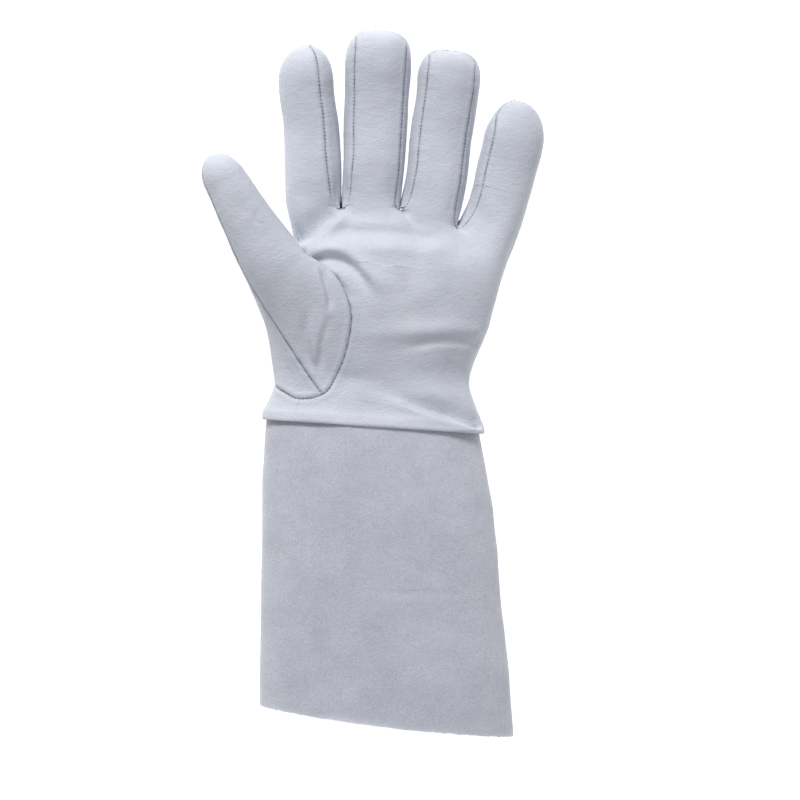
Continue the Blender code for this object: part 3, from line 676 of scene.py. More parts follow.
# %% Seams of every grid
FAR, HOLE_END_SHARE, POLE_MM = 30.0, 0.04, 4
EDGES = (0, -1)
seam_at = {}
above_hole = smooth((hand_places - HOLE_TO) / HOLE_END_SHARE)[:, None]
for panel, crotches, edges in (("palm", CROTCH_FRONT, EDGES), ("back", CROTCH_BACK, EDGES[::-1])):
    grid = grids[panel]
    outer_edge, inner_edge_seam = (edge_seam(grid, edge) for edge in edges)
    seam_at[panel] = nearest(
        (outer_edge[0], outer_edge[1] - outer_edge[1][-1:]),
        (inner_edge_seam[0] + FAR * (1 - above_hole), inner_edge_seam[1] - inner_edge_seam[1][-1:]),
        beside(grid, hole_loop)[:2],
        *((np.linalg.norm(grid - crotch, axis=-1), 0.0) for crotch in crotches),
    )
for key in [key for key in grids if "_root_" in key]:
    tip_key = key.replace("_root_", "_tip_")
    root_seams = [edge_seam(grids[key], edge) for edge in EDGES]
    tip_seams = [edge_seam(grids[tip_key], edge, seam[1][-1, 0])
                 for edge, seam in zip(EDGES, root_seams)]
    hole = [beside(grids[key], hole_loop)[:2]] if key.startswith("thumb") else []
    seam_at[key] = nearest(*hole, *root_seams)
    seam_at[tip_key] = nearest(*tip_seams)
relief = {name: seam_relief(*seam) for name, seam in seam_at.items()}
for key in relief:
    if "_tip_" in key:
        from_pole = np.linalg.norm(grids[key] - grids[key][-1, 0], axis=-1)
        relief[key] *= 1 - np.exp(-((from_pole / POLE_MM) ** 2))


def lowest_and_highest(heights):
    """The least and greatest value of several arrays."""
    return round(min(h.min() for h in heights), 2), round(max(h.max() for h in heights), 2)


print("seam relief in mm:", lowest_and_highest(relief.values()))

# %% [markdown]
# ## Relief: creases and dents
# Soft leather that has been worn keeps the creases of the hand. Each one is a valley drawn along
# a path, wider on one side than on the other, with a low crest beside it. Dents and swellings
# are broad bells. They were placed one by one, so they lie where a hand bends.

# %% Crease and swelling
CREASE_STEPS = 14


def crease(points, path, depth, right, left, crest=0.0, crest_at=3.0, crest_width=2.5,
           ends=(0.15, 0.2)):
    """A valley of this depth whose walls fall off as bells of width right and left of the path, plus
    a bell-shaped crest at crest_at (left is positive). Both fade in and out at the path's ends."""
    path = through(path, np.linspace(0, 1, CREASE_STEPS * len(path)))
    away, along, side = beside(points[..., :2], path)
    share = along / arc_length(path)[-1]
    signed = away * side
    valley = np.exp(-((signed / np.where(signed > 0, left, right)) ** 2))
    bell = np.exp(-(((signed - crest_at) / crest_width) ** 2))
    fade = smooth(share / ends[0]) * smooth((1 - share) / ends[1])
    return (crest * bell - depth * valley) * fade


def swelling(points, x, y, long, short, turned, height):
    """A bell of this height, long by short, its long axis turned from +X by an angle."""
    c, s = math.cos(math.radians(turned)), math.sin(math.radians(turned))
    u = (points[..., 0] - x) * c + (points[..., 1] - y) * s
    v = (points[..., 1] - y) * c - (points[..., 0] - x) * s
    return height * np.exp(-((u / long) ** 2) - ((v / short) ** 2))


one_along = np.array([1.0, 0.0])
print("a swelling of height 1, one length out:", round(float(swelling(one_along, 0, 0, 1, 1, 0, 1)), 2))

# %% Creases and swellings of the palm
PALM_CREASES = [
    # from the thumb's crotch up to the crotch of index and middle finger
    dict(path=[(-40, 69), (-37, 70.5), (-32.5, 72.8), (-25.5, 77.8), (-19.6, 83.2), (-15, 88)], depth=2.9,
         right=1.7, left=6.5, crest=1.0, crest_at=-4, crest_width=3, ends=(0.06, 0.25)),
    # across the palm under the fingers
    dict(path=[(-37, 65.5), (-30, 71), (-18.6, 75.8), (-8.7, 75.4), (3, 75), (17, 74.3), (28, 72.6),
               (41, 75.5)], depth=1.3, right=4.5, left=3.2, crest=0.7, crest_at=-8, crest_width=5,
         ends=(0.12, 0.2)),
    # the deep fold round the ball of the thumb
    dict(path=[(-32, 59), (-25.5, 61.8), (-20.6, 62.2), (-15.1, 60.6), (-9.7, 56.7), (-4.8, 50.7),
               (0.1, 43.8), (5.1, 38.4)], depth=2.4, right=4.0, left=1.8, crest=1.3, crest_at=4.0,
         crest_width=3.6, ends=(0.04, 0.45)),
    # a short one inside it
    dict(path=[(-21, 54), (-16.6, 49.7), (-11.7, 42.9), (-8.7, 38.9)], depth=0.8, right=1.8, left=1.8,
         crest=0.5, crest_at=-3, crest_width=2, ends=(0.2, 0.5)),
    # the middle of the palm
    dict(path=[(12, 58), (13, 52), (13.6, 46), (13, 38)], depth=0.9, right=5, left=5, ends=(0.4, 0.4)),
    # at the heel of the hand, little finger's side
    dict(path=[(9, 15.4), (14, 16.3), (22.9, 18.4), (31.8, 19.6), (41.7, 19.8), (53, 18.4)], depth=1.1,
         right=1.5, left=3.4, crest=0.4, crest_at=6.5, crest_width=3.5, ends=(0.4, 0.05)),
    # from the middle of the wrist down to the hem
    dict(path=[(-4, 0), (3.1, -3.6), (13, -7.5), (22.9, -11.5), (36.7, -15.6), (46.6, -19.2),
               (55.5, -22)], depth=3.6, right=1.8, left=5.0, crest=0.8, crest_at=-3.8, crest_width=2.2,
         ends=(0.6, 0.03)),
    # beside it, towards the thumb
    dict(path=[(-22, 6), (-14, 3), (-6, 2), (4, 4)], depth=0.5, right=3, left=3, ends=(0.4, 0.4)),
]
# Each swelling: x, y, length, breadth, turn and height.
PALM_SWELLINGS = [
    (0, 50, 26, 7, -12, 0.9), (34, 38, 16, 12, 0, -0.8), (17, 25, 22, 4.5, 3, 1.2), (38, 6, 18, 6, 0, -0.5),
    (-31, 79, 7, 5, 40, -1.8), (-5, 84, 9, 4, 0, -0.6), (25, 79, 9, 4, -10, -0.6), (48, 62, 10, 7, 0, 0.7),
    (-20, -12, 22, 5, -8, -0.3), (5, 66, 30, 5, 0, 0.8), (-3, 92, 34, 9, -3, -1.9),
    (50, 84, 12, 10, -15, -1.3), (-34, 101, 9, 7, 0, 0.7),
]
print("creases of the palm:", len(PALM_CREASES), "swellings:", len(PALM_SWELLINGS))

# %% Creases of the thumb and the back
THUMB_CREASES = [
    # the hollow in the ball of the thumb: a V that runs down to the seams' end
    dict(path=[(-31, 39), (-33.4, 30), (-34, 22.3), (-31.8, 11.4), (-28.4, 4)], depth=1.15,
         right=3.0, left=1.9, crest=0.5, crest_at=3.6, crest_width=1.7, ends=(0.4, 0.25)),
    dict(path=[(-21.5, 36), (-23, 29), (-25.2, 20), (-26.4, 11.4), (-27.6, 4)], depth=1.15,
         right=1.9, left=2.4, crest=0.5, crest_at=-3.4, crest_width=1.7, ends=(0.3, 0.25)),
    # the pocket between the thumb and its seam, and a short one near the thumb's tip
    dict(path=[(-27, 58), (-24.2, 50), (-22.4, 43.5), (-22, 38), (-23, 33)], depth=1.3, right=1.1, left=2.6,
         crest=0.5, crest_at=-2.6, crest_width=1.8, ends=(0.25, 0.3)),
    dict(path=[(-56, 87), (-58, 80), (-52, 77)], depth=0.35, right=1.4, left=1.4, ends=(0.4, 0.4)),
]
THUMB_SWELLINGS = [(-24, 24, 12, 2.6, 80, 0.7), (-66, 84, 8, 4, 60, -0.4)]
BACK_CREASES = [
    dict(path=[(-30, 86), (-12, 80), (12, 79), (36, 73), (54, 64)], depth=0.7, right=5, left=4),
    dict(path=[(-36, 30), (-14, 26), (16, 24), (46, 26)], depth=0.5, right=5, left=5),
]

print("creases of the thumb:", len(THUMB_CREASES), "of the back:", len(BACK_CREASES))

# %% Soft unevenness
# Each layer of unevenness: height, size and shift, in millimetres.
WAVES, WRINKLES = [(0.55, 17.0, 3.7), (0.18, 7.5, 11.3)], [(0.06, 2.9, 5.1), (0.03, 1.6, 8.9)]
WRINKLE_STRETCH = np.array([0.65, 1.0, 0.8])
MIX = (73856093, 19349663, 83492791, 1274126177)


def lattice_noise(points, size, shift):
    """Value noise: a number from -1 to 1 at each corner of a lattice, made by mixing the corner's
    three whole coordinates, and smooth steps between the eight corners round a point."""
    place = points / size + shift
    base = np.floor(place).astype(np.int64)
    f = smooth(place - base)
    total = np.zeros(points.shape[:-1])
    for corner in np.ndindex(2, 2, 2):
        q = base + np.array(corner)
        mixed = (q[..., 0] * MIX[0]) ^ (q[..., 1] * MIX[1]) ^ (q[..., 2] * MIX[2])
        mixed = ((mixed ^ (mixed >> 13)) * MIX[3]) & 0xFFFFFFFF
        value = ((mixed ^ (mixed >> 16)) & 0xFFFF) / 32767.5 - 1
        total += value * np.where(np.array(corner) == 1, f, 1 - f).prod(axis=-1)
    return total


def layers_of_noise(points, layers):
    """The layers' lattice noise, each times its height, added up."""
    return sum(height * lattice_noise(points, size, shift) for height, size, shift in layers)


def unevenness(points):
    """Broad waves, and wrinkles stretched so that they run across the hand."""
    return layers_of_noise(points, WAVES) + layers_of_noise(points * WRINKLE_STRETCH, WRINKLES)


print("unevenness of the palm in mm:", lowest_and_highest([unevenness(grids["palm"])]))

# %% Creases, ruffles and unevenness on every grid
GATHER_AT, GATHER_REACH, GATHER_PITCH, GATHER_DEPTH, GATHER_PULL = 6.0, 9, 7.5, 0.75, 0.5
FACING = 0.5


def worn(grid, facing, creases, swellings=()):
    """The creases' and swellings' sum, faded in over the first FACING of the normal's height."""
    total = sum(crease(grid, **spec) for spec in creases)
    total = total + sum(swelling(grid, *spec) for spec in swellings)
    return total * smooth(facing / FACING)


def gathers(grid, facing):
    """The elastic's ruffles: a cosine across the back, under a bell along it, and a slight pull in."""
    x, y = grid[..., 0], grid[..., 1]
    reach = np.exp(-(((y - GATHER_AT) / GATHER_REACH) ** 2)) * smooth((42 - np.abs(x - 1)) / 12)
    ruffle = np.cos(2 * np.pi * (x + 0.8 * np.sin(y / 3)) / GATHER_PITCH)
    return (GATHER_DEPTH * (ruffle - 1) / 2 - GATHER_PULL) * reach * smooth(facing / FACING)


sunk = {}
for name, grid in grids.items():
    up = normals[name][..., 2]
    sunk[name] = np.zeros(grid.shape[:2])
    if name.startswith("thumb"):
        sunk[name] += worn(grid, up, THUMB_CREASES, THUMB_SWELLINGS)
        continue
    if name == "palm" or "_root_" in name and not name.endswith("back"):
        sunk[name] += worn(grid, up, PALM_CREASES, PALM_SWELLINGS)
    if name == "back" or "_root_" in name and not name.endswith("front"):
        sunk[name] += worn(grid, -up, BACK_CREASES)
    if name == "back":
        sunk[name] += gathers(grid, -up)
relief = {name: relief[name] + sunk[name] + unevenness(grids[name]) for name in grids}
print("deepest and highest crease:", lowest_and_highest(sunk.values()))

# %% The outer surface
# The hem's rows take the relief of the wall that they hang from, turned round inside.
TURNED_IN, BELOW_FLOOR = -0.5, -9.0
wall_row = HEM_ROWS + np.concatenate([np.arange(HEM_INSIDE_ROWS, 0, -1), np.zeros(HEM_ROLL_ROWS, int)])
roll_turn = np.linspace(1, 0, HEM_ROLL_ROWS + 1)[:-1]
facing = np.cos(np.pi * np.concatenate([np.ones(HEM_INSIDE_ROWS), roll_turn]))
sunk = {name: np.minimum(depth, 0) for name, depth in sunk.items()}
for panel in ("palm", "back"):
    for amount in (relief, sunk):
        amount[panel][:HEM_ROWS] = amount[panel][wall_row] * facing[:, None]
outer = {name: grids[name] + normals[name] * relief[name][..., None] for name in grids}
for name, points in outer.items():
    floor_here = np.where(normals[name][..., 2] < TURNED_IN, 0.0, BELOW_FLOOR)
    points[..., 2] = np.maximum(points[..., 2], floor_here)
print("deepest and highest relief:", lowest_and_highest(relief.values()))

# %% [markdown]
# ## Finishes
# Two leathers make the glove. Grain leather is the smooth outer side of a hide: fine pores, tiny
# wrinkles that lie across the fingers and a low satin sheen. Split leather is the inner layer of
# a thick hide: no grain, a nap of short fibres that scatters light, and blotches where the nap lies
# differently. Both are dyed the same pale blue grey.

# %% Colour and node helpers


def linear(code):
    """An sRGB hex code as linear red, green, blue, alpha."""
    values = [int(code[i:i + 2], 16) / 255 for i in (1, 3, 5)]
    return [v / 12.92 if v <= 0.04045 else ((v + 0.055) / 1.055) ** 2.4 for v in values] + [1.0]


def add(tree, kind, inputs, stops=(), **settings):
    """Adds a node, sets its settings and a ramp's (position, hex code) stops, and links or sets
    each (input, value) pair."""
    node = tree.nodes.new(kind)
    for key, value in settings.items():
        setattr(node, key, value)
    for stop, (position, code) in zip(node.color_ramp.elements if stops else (), stops):
        stop.position, stop.color = position, linear(code)
    for key, value in inputs.items():
        if isinstance(value, bpy.types.NodeSocket):
            tree.links.new(value, node.inputs[key])
        else:
            node.inputs[key].default_value = value
    return node


def finish(name, **inputs):
    """A material with its shader's own sockets set, and its tree, shader and object coordinates."""
    material = bpy.data.materials.new(name)
    material.use_nodes = True
    tree = material.node_tree
    shader = tree.nodes["Principled BSDF"]
    for key, value in inputs.items():
        shader.inputs[key.replace("_", " ")].default_value = value
    return material, tree, shader, add(tree, "ShaderNodeTexCoord", {}).outputs["Object"]


print("the leather's blue grey, linear:", np.round(linear("#cdd0d9"), 3))

# %% Grain leather
# Drum-dyed cowhide, grain side out, finished with a thin satin coat: it shows fine pores, wrinkles
# 1 to 3 mm apart and soft highlights, and the seams' valleys are darkened with painted shade. Real
# pores lie about 0.4 mm apart, and are drawn coarser, so that they show.
PORE_MM, WRINKLE_MM, BLOTCH_MM = 0.7, 1.7, 26.0
SEAM_SHADE_SHARE, GRAIN_ROUGHNESS = 0.75, 0.56


def leather_grain(name, light, dark, seam_shade):
    """Blotches between two tones, darkened in the seams' valleys as painted shade, with wrinkles and pores
    as bumps.
    """
    material, tree, shader, place = finish(name, Roughness=GRAIN_ROUGHNESS, IOR=1.46, Sheen_Weight=0.12,
                                           Sheen_Roughness=0.5, Specular_IOR_Level=0.42)
    blotch = add(tree, "ShaderNodeTexNoise", {"Vector": place, "Scale": 1000 / BLOTCH_MM, "Detail": 3.0})
    body = add(tree, "ShaderNodeValToRGB", {"Fac": blotch.outputs["Fac"]}, [(0.3, dark), (0.72, light)])
    valley = add(tree, "ShaderNodeAttribute", {}, attribute_name="valley").outputs["Fac"]
    # Painted shade: the valley attribute mixes the leather towards a dark blue grey along the seams.
    seam_shade_amount = add(tree, "ShaderNodeMath", {0: valley, 1: SEAM_SHADE_SHARE}, operation="MULTIPLY").outputs[0]
    seam_shaded = add(tree, "ShaderNodeMixRGB", {"Fac": seam_shade_amount, "Color1": body.outputs["Color"],
                                             "Color2": linear(seam_shade)})
    tree.links.new(seam_shaded.outputs["Color"], shader.inputs["Base Color"])
    stretched = add(tree, "ShaderNodeMapping", {"Vector": place, "Scale": (0.7, 1.0, 0.8)}).outputs[0]
    wrinkle = add(tree, "ShaderNodeTexNoise", {"Vector": stretched, "Scale": 1000 / WRINKLE_MM,
                                               "Detail": 4.0, "Roughness": 0.6, "Distortion": 0.6})
    pore = add(tree, "ShaderNodeTexVoronoi", {"Vector": place, "Scale": 1000 / PORE_MM},
               feature="SMOOTH_F1")
    first = add(tree, "ShaderNodeBump", {"Height": wrinkle.outputs["Fac"], "Strength": 0.7,
                                         "Distance": 0.45 * MM})
    second = add(tree, "ShaderNodeBump", {"Height": pore.outputs["Distance"], "Strength": 0.6,
                                          "Distance": 0.22 * MM, "Normal": first.outputs["Normal"]})
    tree.links.new(second.outputs["Normal"], shader.inputs["Normal"])
    gloss = add(tree, "ShaderNodeMapRange", {"Value": wrinkle.outputs["Fac"],
                                             "To Min": GRAIN_ROUGHNESS - 0.08,
                                             "To Max": GRAIN_ROUGHNESS + 0.12})
    tree.links.new(gloss.outputs["Result"], shader.inputs["Roughness"])
    return material


# The third colour is painted shade for the seams' valleys.
GRAIN = leather_grain("grain_leather_drum_dyed", "#cdd0d9", "#c2c5cf", "#747b8f")
print("grain leather nodes:", len(GRAIN.node_tree.nodes))

# %% Split leather
# Suede: the nap of short fibres gives no highlight, a velvety sheen at grazing angles, and blotches.
# Real fibres are 0.1 to 0.3 mm apart, too fine to show, so the nap is drawn coarser.
NAP_MM, TUFT_MM, NAP_BLOTCH_MM, SPECK_SHARE = 0.8, 3.2, 18.0, 0.62


def suede(name, light, dark, edge):
    """Blotches between two tones, times the nap's specks, paler along a cut edge, with tufts and
    nap as bumps."""
    material, tree, shader, place = finish(name, Roughness=0.94, IOR=1.4, Sheen_Weight=0.35,
                                           Sheen_Roughness=0.6, Specular_IOR_Level=0.15)
    blotch = add(tree, "ShaderNodeTexNoise", {"Vector": place, "Scale": 1000 / NAP_BLOTCH_MM,
                                              "Detail": 5.0, "Roughness": 0.62})
    body = add(tree, "ShaderNodeValToRGB", {"Fac": blotch.outputs["Fac"]}, [(0.32, dark), (0.7, light)])
    nap = add(tree, "ShaderNodeTexNoise", {"Vector": place, "Scale": 1000 / NAP_MM, "Detail": 3.0,
                                           "Roughness": 0.7})
    speck = add(tree, "ShaderNodeValToRGB", {"Fac": nap.outputs["Fac"]},
                [(0.28, "#bfc0c4"), (0.72, "#ffffff")])
    mixed = add(tree, "ShaderNodeMixRGB", {"Fac": SPECK_SHARE, "Color1": body.outputs["Color"],
                                           "Color2": speck.outputs["Color"]}, blend_type="MULTIPLY")
    valley = add(tree, "ShaderNodeAttribute", {}, attribute_name="valley").outputs["Fac"]
    frayed = add(tree, "ShaderNodeMixRGB", {"Fac": valley, "Color1": mixed.outputs["Color"],
                                            "Color2": linear(edge)})
    tree.links.new(frayed.outputs["Color"], shader.inputs["Base Color"])
    tuft = add(tree, "ShaderNodeTexNoise", {"Vector": place, "Scale": 1000 / TUFT_MM, "Detail": 5.0,
                                            "Roughness": 0.6, "Distortion": 0.4})
    first = add(tree, "ShaderNodeBump", {"Height": tuft.outputs["Fac"], "Strength": 0.5,
                                         "Distance": 0.35 * MM})
    second = add(tree, "ShaderNodeBump", {"Height": nap.outputs["Fac"], "Strength": 0.8,
                                          "Distance": 0.25 * MM, "Normal": first.outputs["Normal"]})
    tree.links.new(second.outputs["Normal"], shader.inputs["Normal"])
    return material


SPLIT = suede("split_leather_suede", "#d0d2dc", "#c4c5d0", "#d8dae3")
FLESH = suede("leather_flesh_side", "#c6c8cf", "#b9bcc6", "#d6d8dd")
print("split leather nodes:", len(SPLIT.node_tree.nodes))

# %% Thread and elastic
# Spun polyester thread is twisted; its two tones are painted darker than the leather as painted shade,
# because it lies in the valley.
# Woven elastic has ribs of rubber under a cotton weave. At Scale 1 a wave texture's bands lie
# pi / 10 apart.
TWIST_MM, RIB_MM, BAND_STEP = 0.157, 1.98, math.pi / 10


def banded(name, roughness, pitch, low, high, distortion, bump, direction="X"):
    """Bands across the piece in two tones and, as a bump, in height: strength and distance."""
    material, tree, shader, place = finish(name, Roughness=roughness, IOR=1.5, Sheen_Weight=0.2)
    bands = add(tree, "ShaderNodeTexWave", {"Vector": place, "Scale": BAND_STEP / (pitch * MM),
                                            "Distortion": distortion}, bands_direction=direction)
    tone = add(tree, "ShaderNodeValToRGB", {"Fac": bands.outputs["Fac"]}, [(0.0, low), (1.0, high)])
    tree.links.new(tone.outputs["Color"], shader.inputs["Base Color"])
    raised = add(tree, "ShaderNodeBump", {"Height": bands.outputs["Fac"], "Strength": bump[0],
                                          "Distance": bump[1] * MM})
    tree.links.new(raised.outputs["Normal"], shader.inputs["Normal"])
    return material


# The thread's dark tones are painted shade of the seams' valleys.
THREAD = banded("spun_polyester_thread", 0.6, TWIST_MM, "#767d92", "#9aa0b2", 1.5, (0.5, 0.08))
ELASTIC = banded("woven_elastic", 0.8, RIB_MM, "#c9c8c2", "#e8e7e1", 0.3, (0.7, 0.3), "Y")
print("finishes:", [material.name for material in (GRAIN, SPLIT, FLESH, THREAD, ELASTIC)])

# %% [markdown]
# ## From grids to leather pieces
# A piece is its outer grid, the same grid moved inwards by the leather's thickness, and a strip
# of quads round the rim. Inner side and rim get the flesh-side finish. The rim is marked sharp, so
# that its shading doesn't spill over the seam.

# %% Closed leather walls
SHARP_DEGREES = 38


def boundary(index):
    """The grid's border, once round and back to its start: bottom row, right column, top row and
    left column."""
    return np.concatenate([index[0, :-1], index[:-1, -1], index[-1, :0:-1], index[::-1, 0]])


def leather_piece(name, outside, inside, valley, finishes, tube=False):
    """Quads of the outer grid, of the inner grid turned round, and the rim's strip between them:
    one round the whole border, or one at each end of a tube."""
    count = outside[..., 0].size
    index = np.arange(count).reshape(outside.shape[:2])
    quads = np.stack([index[:-1, :-1], index[1:, :-1], index[1:, 1:], index[:-1, 1:]], axis=-1)
    quads = quads.reshape(-1, 4)
    rings = [index[0], index[-1][::-1]] if tube else [boundary(index)]
    rims = [np.stack([ring[:-1], ring[1:], ring[1:] + count, ring[:-1] + count], axis=-1)
            for ring in rings]
    faces = np.concatenate([quads, quads[:, ::-1] + count, *rims])
    mesh = bpy.data.meshes.new(name)
    mesh.from_pydata(np.concatenate([outside.reshape(-1, 3), inside.reshape(-1, 3)]) * MM, [], faces)
    for material in finishes:
        mesh.materials.append(material)
    which = (np.arange(len(faces)) >= len(quads)).astype(np.int32)
    mesh.polygons.foreach_set("material_index", which)
    shade = mesh.attributes.new("valley", "FLOAT", "POINT")
    shade.data.foreach_set("value", np.tile(valley.ravel(), 2).astype(np.float32))
    return weld(name, mesh)


def weld(name, mesh):
    """Merges points that coincide, as at a fingertip's pole, drops edges left without a face, and
    shades smooth except at the rim."""
    tool = bmesh.new()
    tool.from_mesh(mesh)
    bmesh.ops.remove_doubles(tool, verts=tool.verts, dist=2 * WELD_MM * MM)
    loose = [edge for edge in tool.edges if not edge.link_faces]
    bmesh.ops.delete(tool, geom=loose, context="EDGES")
    tool.to_mesh(mesh)
    tool.free()
    mesh.shade_smooth()
    mesh.set_sharp_from_angle(angle=math.radians(SHARP_DEGREES))
    obj = bpy.data.objects.new(name, mesh)
    bpy.context.scene.collection.objects.link(obj)
    return obj


print("border of a grid of 3 by 3:", boundary(np.arange(9).reshape(3, 3)))

# %% All leather pieces
# Painted shade darkens each seam's valley: it falls off over a short width, stays low all along, and is
# darkest at the stitches' holes.
WALL, HEM_WALL, SEAM_SHADE_WIDTH, SEAM_SHADE_LEAST, HOLE_POWER = 1.35, 0.7, 0.55, 0.35, 1.5
PIECES = {}
for name, points in outer.items():
    thick = np.full(points.shape[:2], WALL)
    if name in ("palm", "back"):
        thick[:HEM_ROWS] = HEM_WALL
    inner = grids[name] + normals[name] * (sunk[name] - thick)[..., None]
    away, along = seam_at[name]
    hole = 0.5 + 0.5 * np.cos(2 * np.pi * along / STITCH)
    # Painted shade for the seams' valleys, darkest at the stitches' holes.
    valley = np.exp(-away / SEAM_SHADE_WIDTH) * (SEAM_SHADE_LEAST + (1 - SEAM_SHADE_LEAST) * hole**HOLE_POWER)
    label = "hand_back" if name == "back" else name
    PIECES[name] = leather_piece(label, points, inner, valley, (GRAIN, FLESH))
print("leather pieces:", len(PIECES), "faces:", sum(len(p.data.polygons) for p in PIECES.values()))

# %% [markdown]
# ## Pieces in place of the frame's parts
# Each piece crosses one joint at most.

# %% Hide the frame's parts that each piece stands for, and bake its transform
STANDS_FOR = {"palm": ["palm_panel", "wrist_hem_front"], "back": ["back_panel", "wrist_hem_back"]}
FORK_OF = {"index_root_right_fourchette": "index_middle_fork",
           "middle_root_right_fourchette": "middle_ring_fork",
           "ring_root_right_fourchette": "ring_little_fork"}


def bend_at_wrist(obj):
    """Bakes the piece's transform into its mesh; nothing here makes it follow the hand or the cuff."""
    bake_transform(obj)


def bend_digit(obj, digit, part):
    """Works out the points of the digit's centre line that BEND gives, where a root piece would bend at
    the knuckle and a tip piece at the middle joint, and bakes the piece's transform; nothing here bends it."""
    start, end = (tuple(DIGIT[digit].frame(at)[0] * MM) for at in BEND[part][digit])
    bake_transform(obj)


for name, obj in PIECES.items():
    if name in STANDS_FOR:
        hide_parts(*STANDS_FOR[name])
        bend_at_wrist(obj)
        continue
    digit, part, panel = name.split("_", 2)
    stands_for = [f"{digit}_{'near' if part == 'root' else 'tip'}_{panel}"]
    if digit == "thumb" and part == "root":
        stands_for.append(f"thumb_root_{panel}")
    if name in FORK_OF:
        stands_for.append(FORK_OF[name])
    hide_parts(*stands_for)
    bend_digit(obj, digit, part)

# %% [markdown]
# ## The cuff
# One wide tube of split leather, a little flatter on top, comes out from under the hem and ends
# in a raw cut edge. Split leather has no skin to hold its edge, so the cut wanders a little. The
# tube is one grid, moved out by noise, rather than a simulated cloth, because its leather is stiff.

# %% Cuff tube
CUFF_WALL, CUFF_CROSS_ROWS, CUFF_COLUMNS = 1.6, 132, 361
CUFF_WAVES, CUFF_NAP = [(0.5, 34.0, 1.3), (0.22, 12.0, 6.1)], [(0.07, 2.4, 2.2), (0.05, 1.2, 4.4)]
RAGGED, RAGGED_REACH = [(0.2, 4.1, 7.7), (0.3, 0.9, 9.1)], 1.5
INNER_RAGGED, INNER_SHORT = 0.6, 0.15


def cuff_grid():
    """The cuff's section from its cut edge, place 1, up to its hidden top, place 0."""
    place = np.concatenate([[1.0, 0.9995], np.linspace(0.998, 0, CUFF_CROSS_ROWS)])[:, None]
    degrees = np.linspace(0, 360, CUFF_COLUMNS)
    return section(CUFF_ROWS, CUFF_SQUARE, place, degrees, sag=CUFF_SAG)


def bell(x, width):
    """1 at 0, falling off as a Gaussian of this width."""
    return np.exp(-((x / width) ** 2))


def cuff_relief(grid):
    """Lattice noise of four sizes, and on the top a soft ridge down the thumb's side where the tube
    turns from flat to round, a hollow beside it and a faint mark across."""
    x, y, z = grid[..., 0], grid[..., 1], grid[..., 2]
    ridge = 0.5 * bell(x + 29 - 0.02 * (y + 90), 4.5) * smooth((-32 - y) / 30)
    hollow = -0.35 * bell(x + 18, 9) * smooth((-40 - y) / 30)
    mark = -0.25 * bell(y + 104, 1.6) * smooth((x + 4) / 8) * smooth((46 - x) / 12)
    noise = layers_of_noise(grid, CUFF_WAVES) + layers_of_noise(grid, CUFF_NAP)
    return noise + (ridge + hollow + mark) * smooth((z - 20) / 12)


cuff = cuff_grid()
cuff_normal = shared_normals({"cuff": cuff})["cuff"]
ragged = layers_of_noise(cuff[:1], RAGGED)
away = cuff[..., 1] - cuff[:1, :, 1]
edge_share = np.exp(-away / RAGGED_REACH)
cuff_outside = cuff + cuff_normal * (cuff_relief(cuff) * smooth((away + 1) / 4))[..., None]
cuff_outside[..., 2] = np.maximum(cuff_outside[..., 2], 0.0)
cuff_outside[..., 1] += ragged * edge_share
cuff_inside = cuff - cuff_normal * CUFF_WALL
cuff_inside[..., 1] += (ragged * INNER_RAGGED + INNER_SHORT) * edge_share
cuff_piece = leather_piece("cuff_split", cuff_outside, cuff_inside, 0.8 * np.exp(-away / 0.9),
                           (SPLIT, FLESH), tube=True)
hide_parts("cuff")
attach(cuff_piece, "cuff")
for node, material in (("cuff_seam_strip", SPLIT), ("wrist_elastic", ELASTIC)):
    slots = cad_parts[node].data.materials
    slots.clear()
    slots.append(material)
print("cuff faces:", len(cuff_piece.data.polygons))

# %% [markdown]
# ## Stitches
# The seams' threads lie in the valleys: short twisted capsules, one every STITCH millimetres. All
# the stitches of a piece are one mesh of few faces each.

# %% Threads
THREAD_RADIUS, THREAD_HALF, THREAD_PROUD, LOOK_AHEAD = 0.21, 0.62, 0.12, 0.3
THREAD_SIDES, THREAD_RINGS = 6, 6


def stitch_row(curve, normal):
    """One capsule per stitch: its centre and direction read off the curve, six sides, and a radius
    that closes at both ends as the square root of 1 - u^4."""
    along = arc_length(curve)
    at = np.arange(STITCH / 2, along[-1] - STITCH / 2, STITCH)

    def read(values, s):
        return np.stack([np.interp(s, along, values[:, k]) for k in range(3)], axis=-1)

    ahead = unit(read(curve, at + LOOK_AHEAD) - read(curve, at - LOOK_AHEAD))
    up = square_to(read(normal, at), ahead)
    side = np.cross(ahead, up)
    u = np.sin(np.linspace(-np.pi / 2, np.pi / 2, THREAD_RINGS))
    radius = THREAD_RADIUS * np.sqrt(np.maximum(1 - u**4, 0))
    turn = np.linspace(0, 2 * np.pi, THREAD_SIDES + 1)[:, None]
    parts = ((up, THREAD_PROUD + np.cos(turn) * radius), (side, np.sin(turn) * radius),
             (ahead, np.broadcast_to(u * THREAD_HALF, (len(turn), len(u)))))
    offset = sum(way[:, None, None] * amount[None, :, :, None] for way, amount in parts)
    return read(curve, at)[:, None, None] + offset


def thread_piece(name, rows):
    """All stitches of one piece in one mesh."""
    stitches = np.concatenate(rows)
    index = np.arange(stitches[..., 0].size).reshape(stitches.shape[:3])
    corners = [index[:, :-1, 1:], index[:, 1:, 1:], index[:, 1:, :-1], index[:, :-1, :-1]]
    mesh = bpy.data.meshes.new(name)
    mesh.from_pydata(stitches.reshape(-1, 3) * MM, [], np.stack(corners, axis=-1).reshape(-1, 4))
    mesh.materials.append(THREAD)
    obj = weld(name, mesh)
    print(name, len(stitches))
    return obj


def seam_rows(key, edges):
    """A row of stitches along each of these edges of a grid."""
    return [stitch_row(outer[key][:, edge], normals[key][:, edge]) for edge in edges]


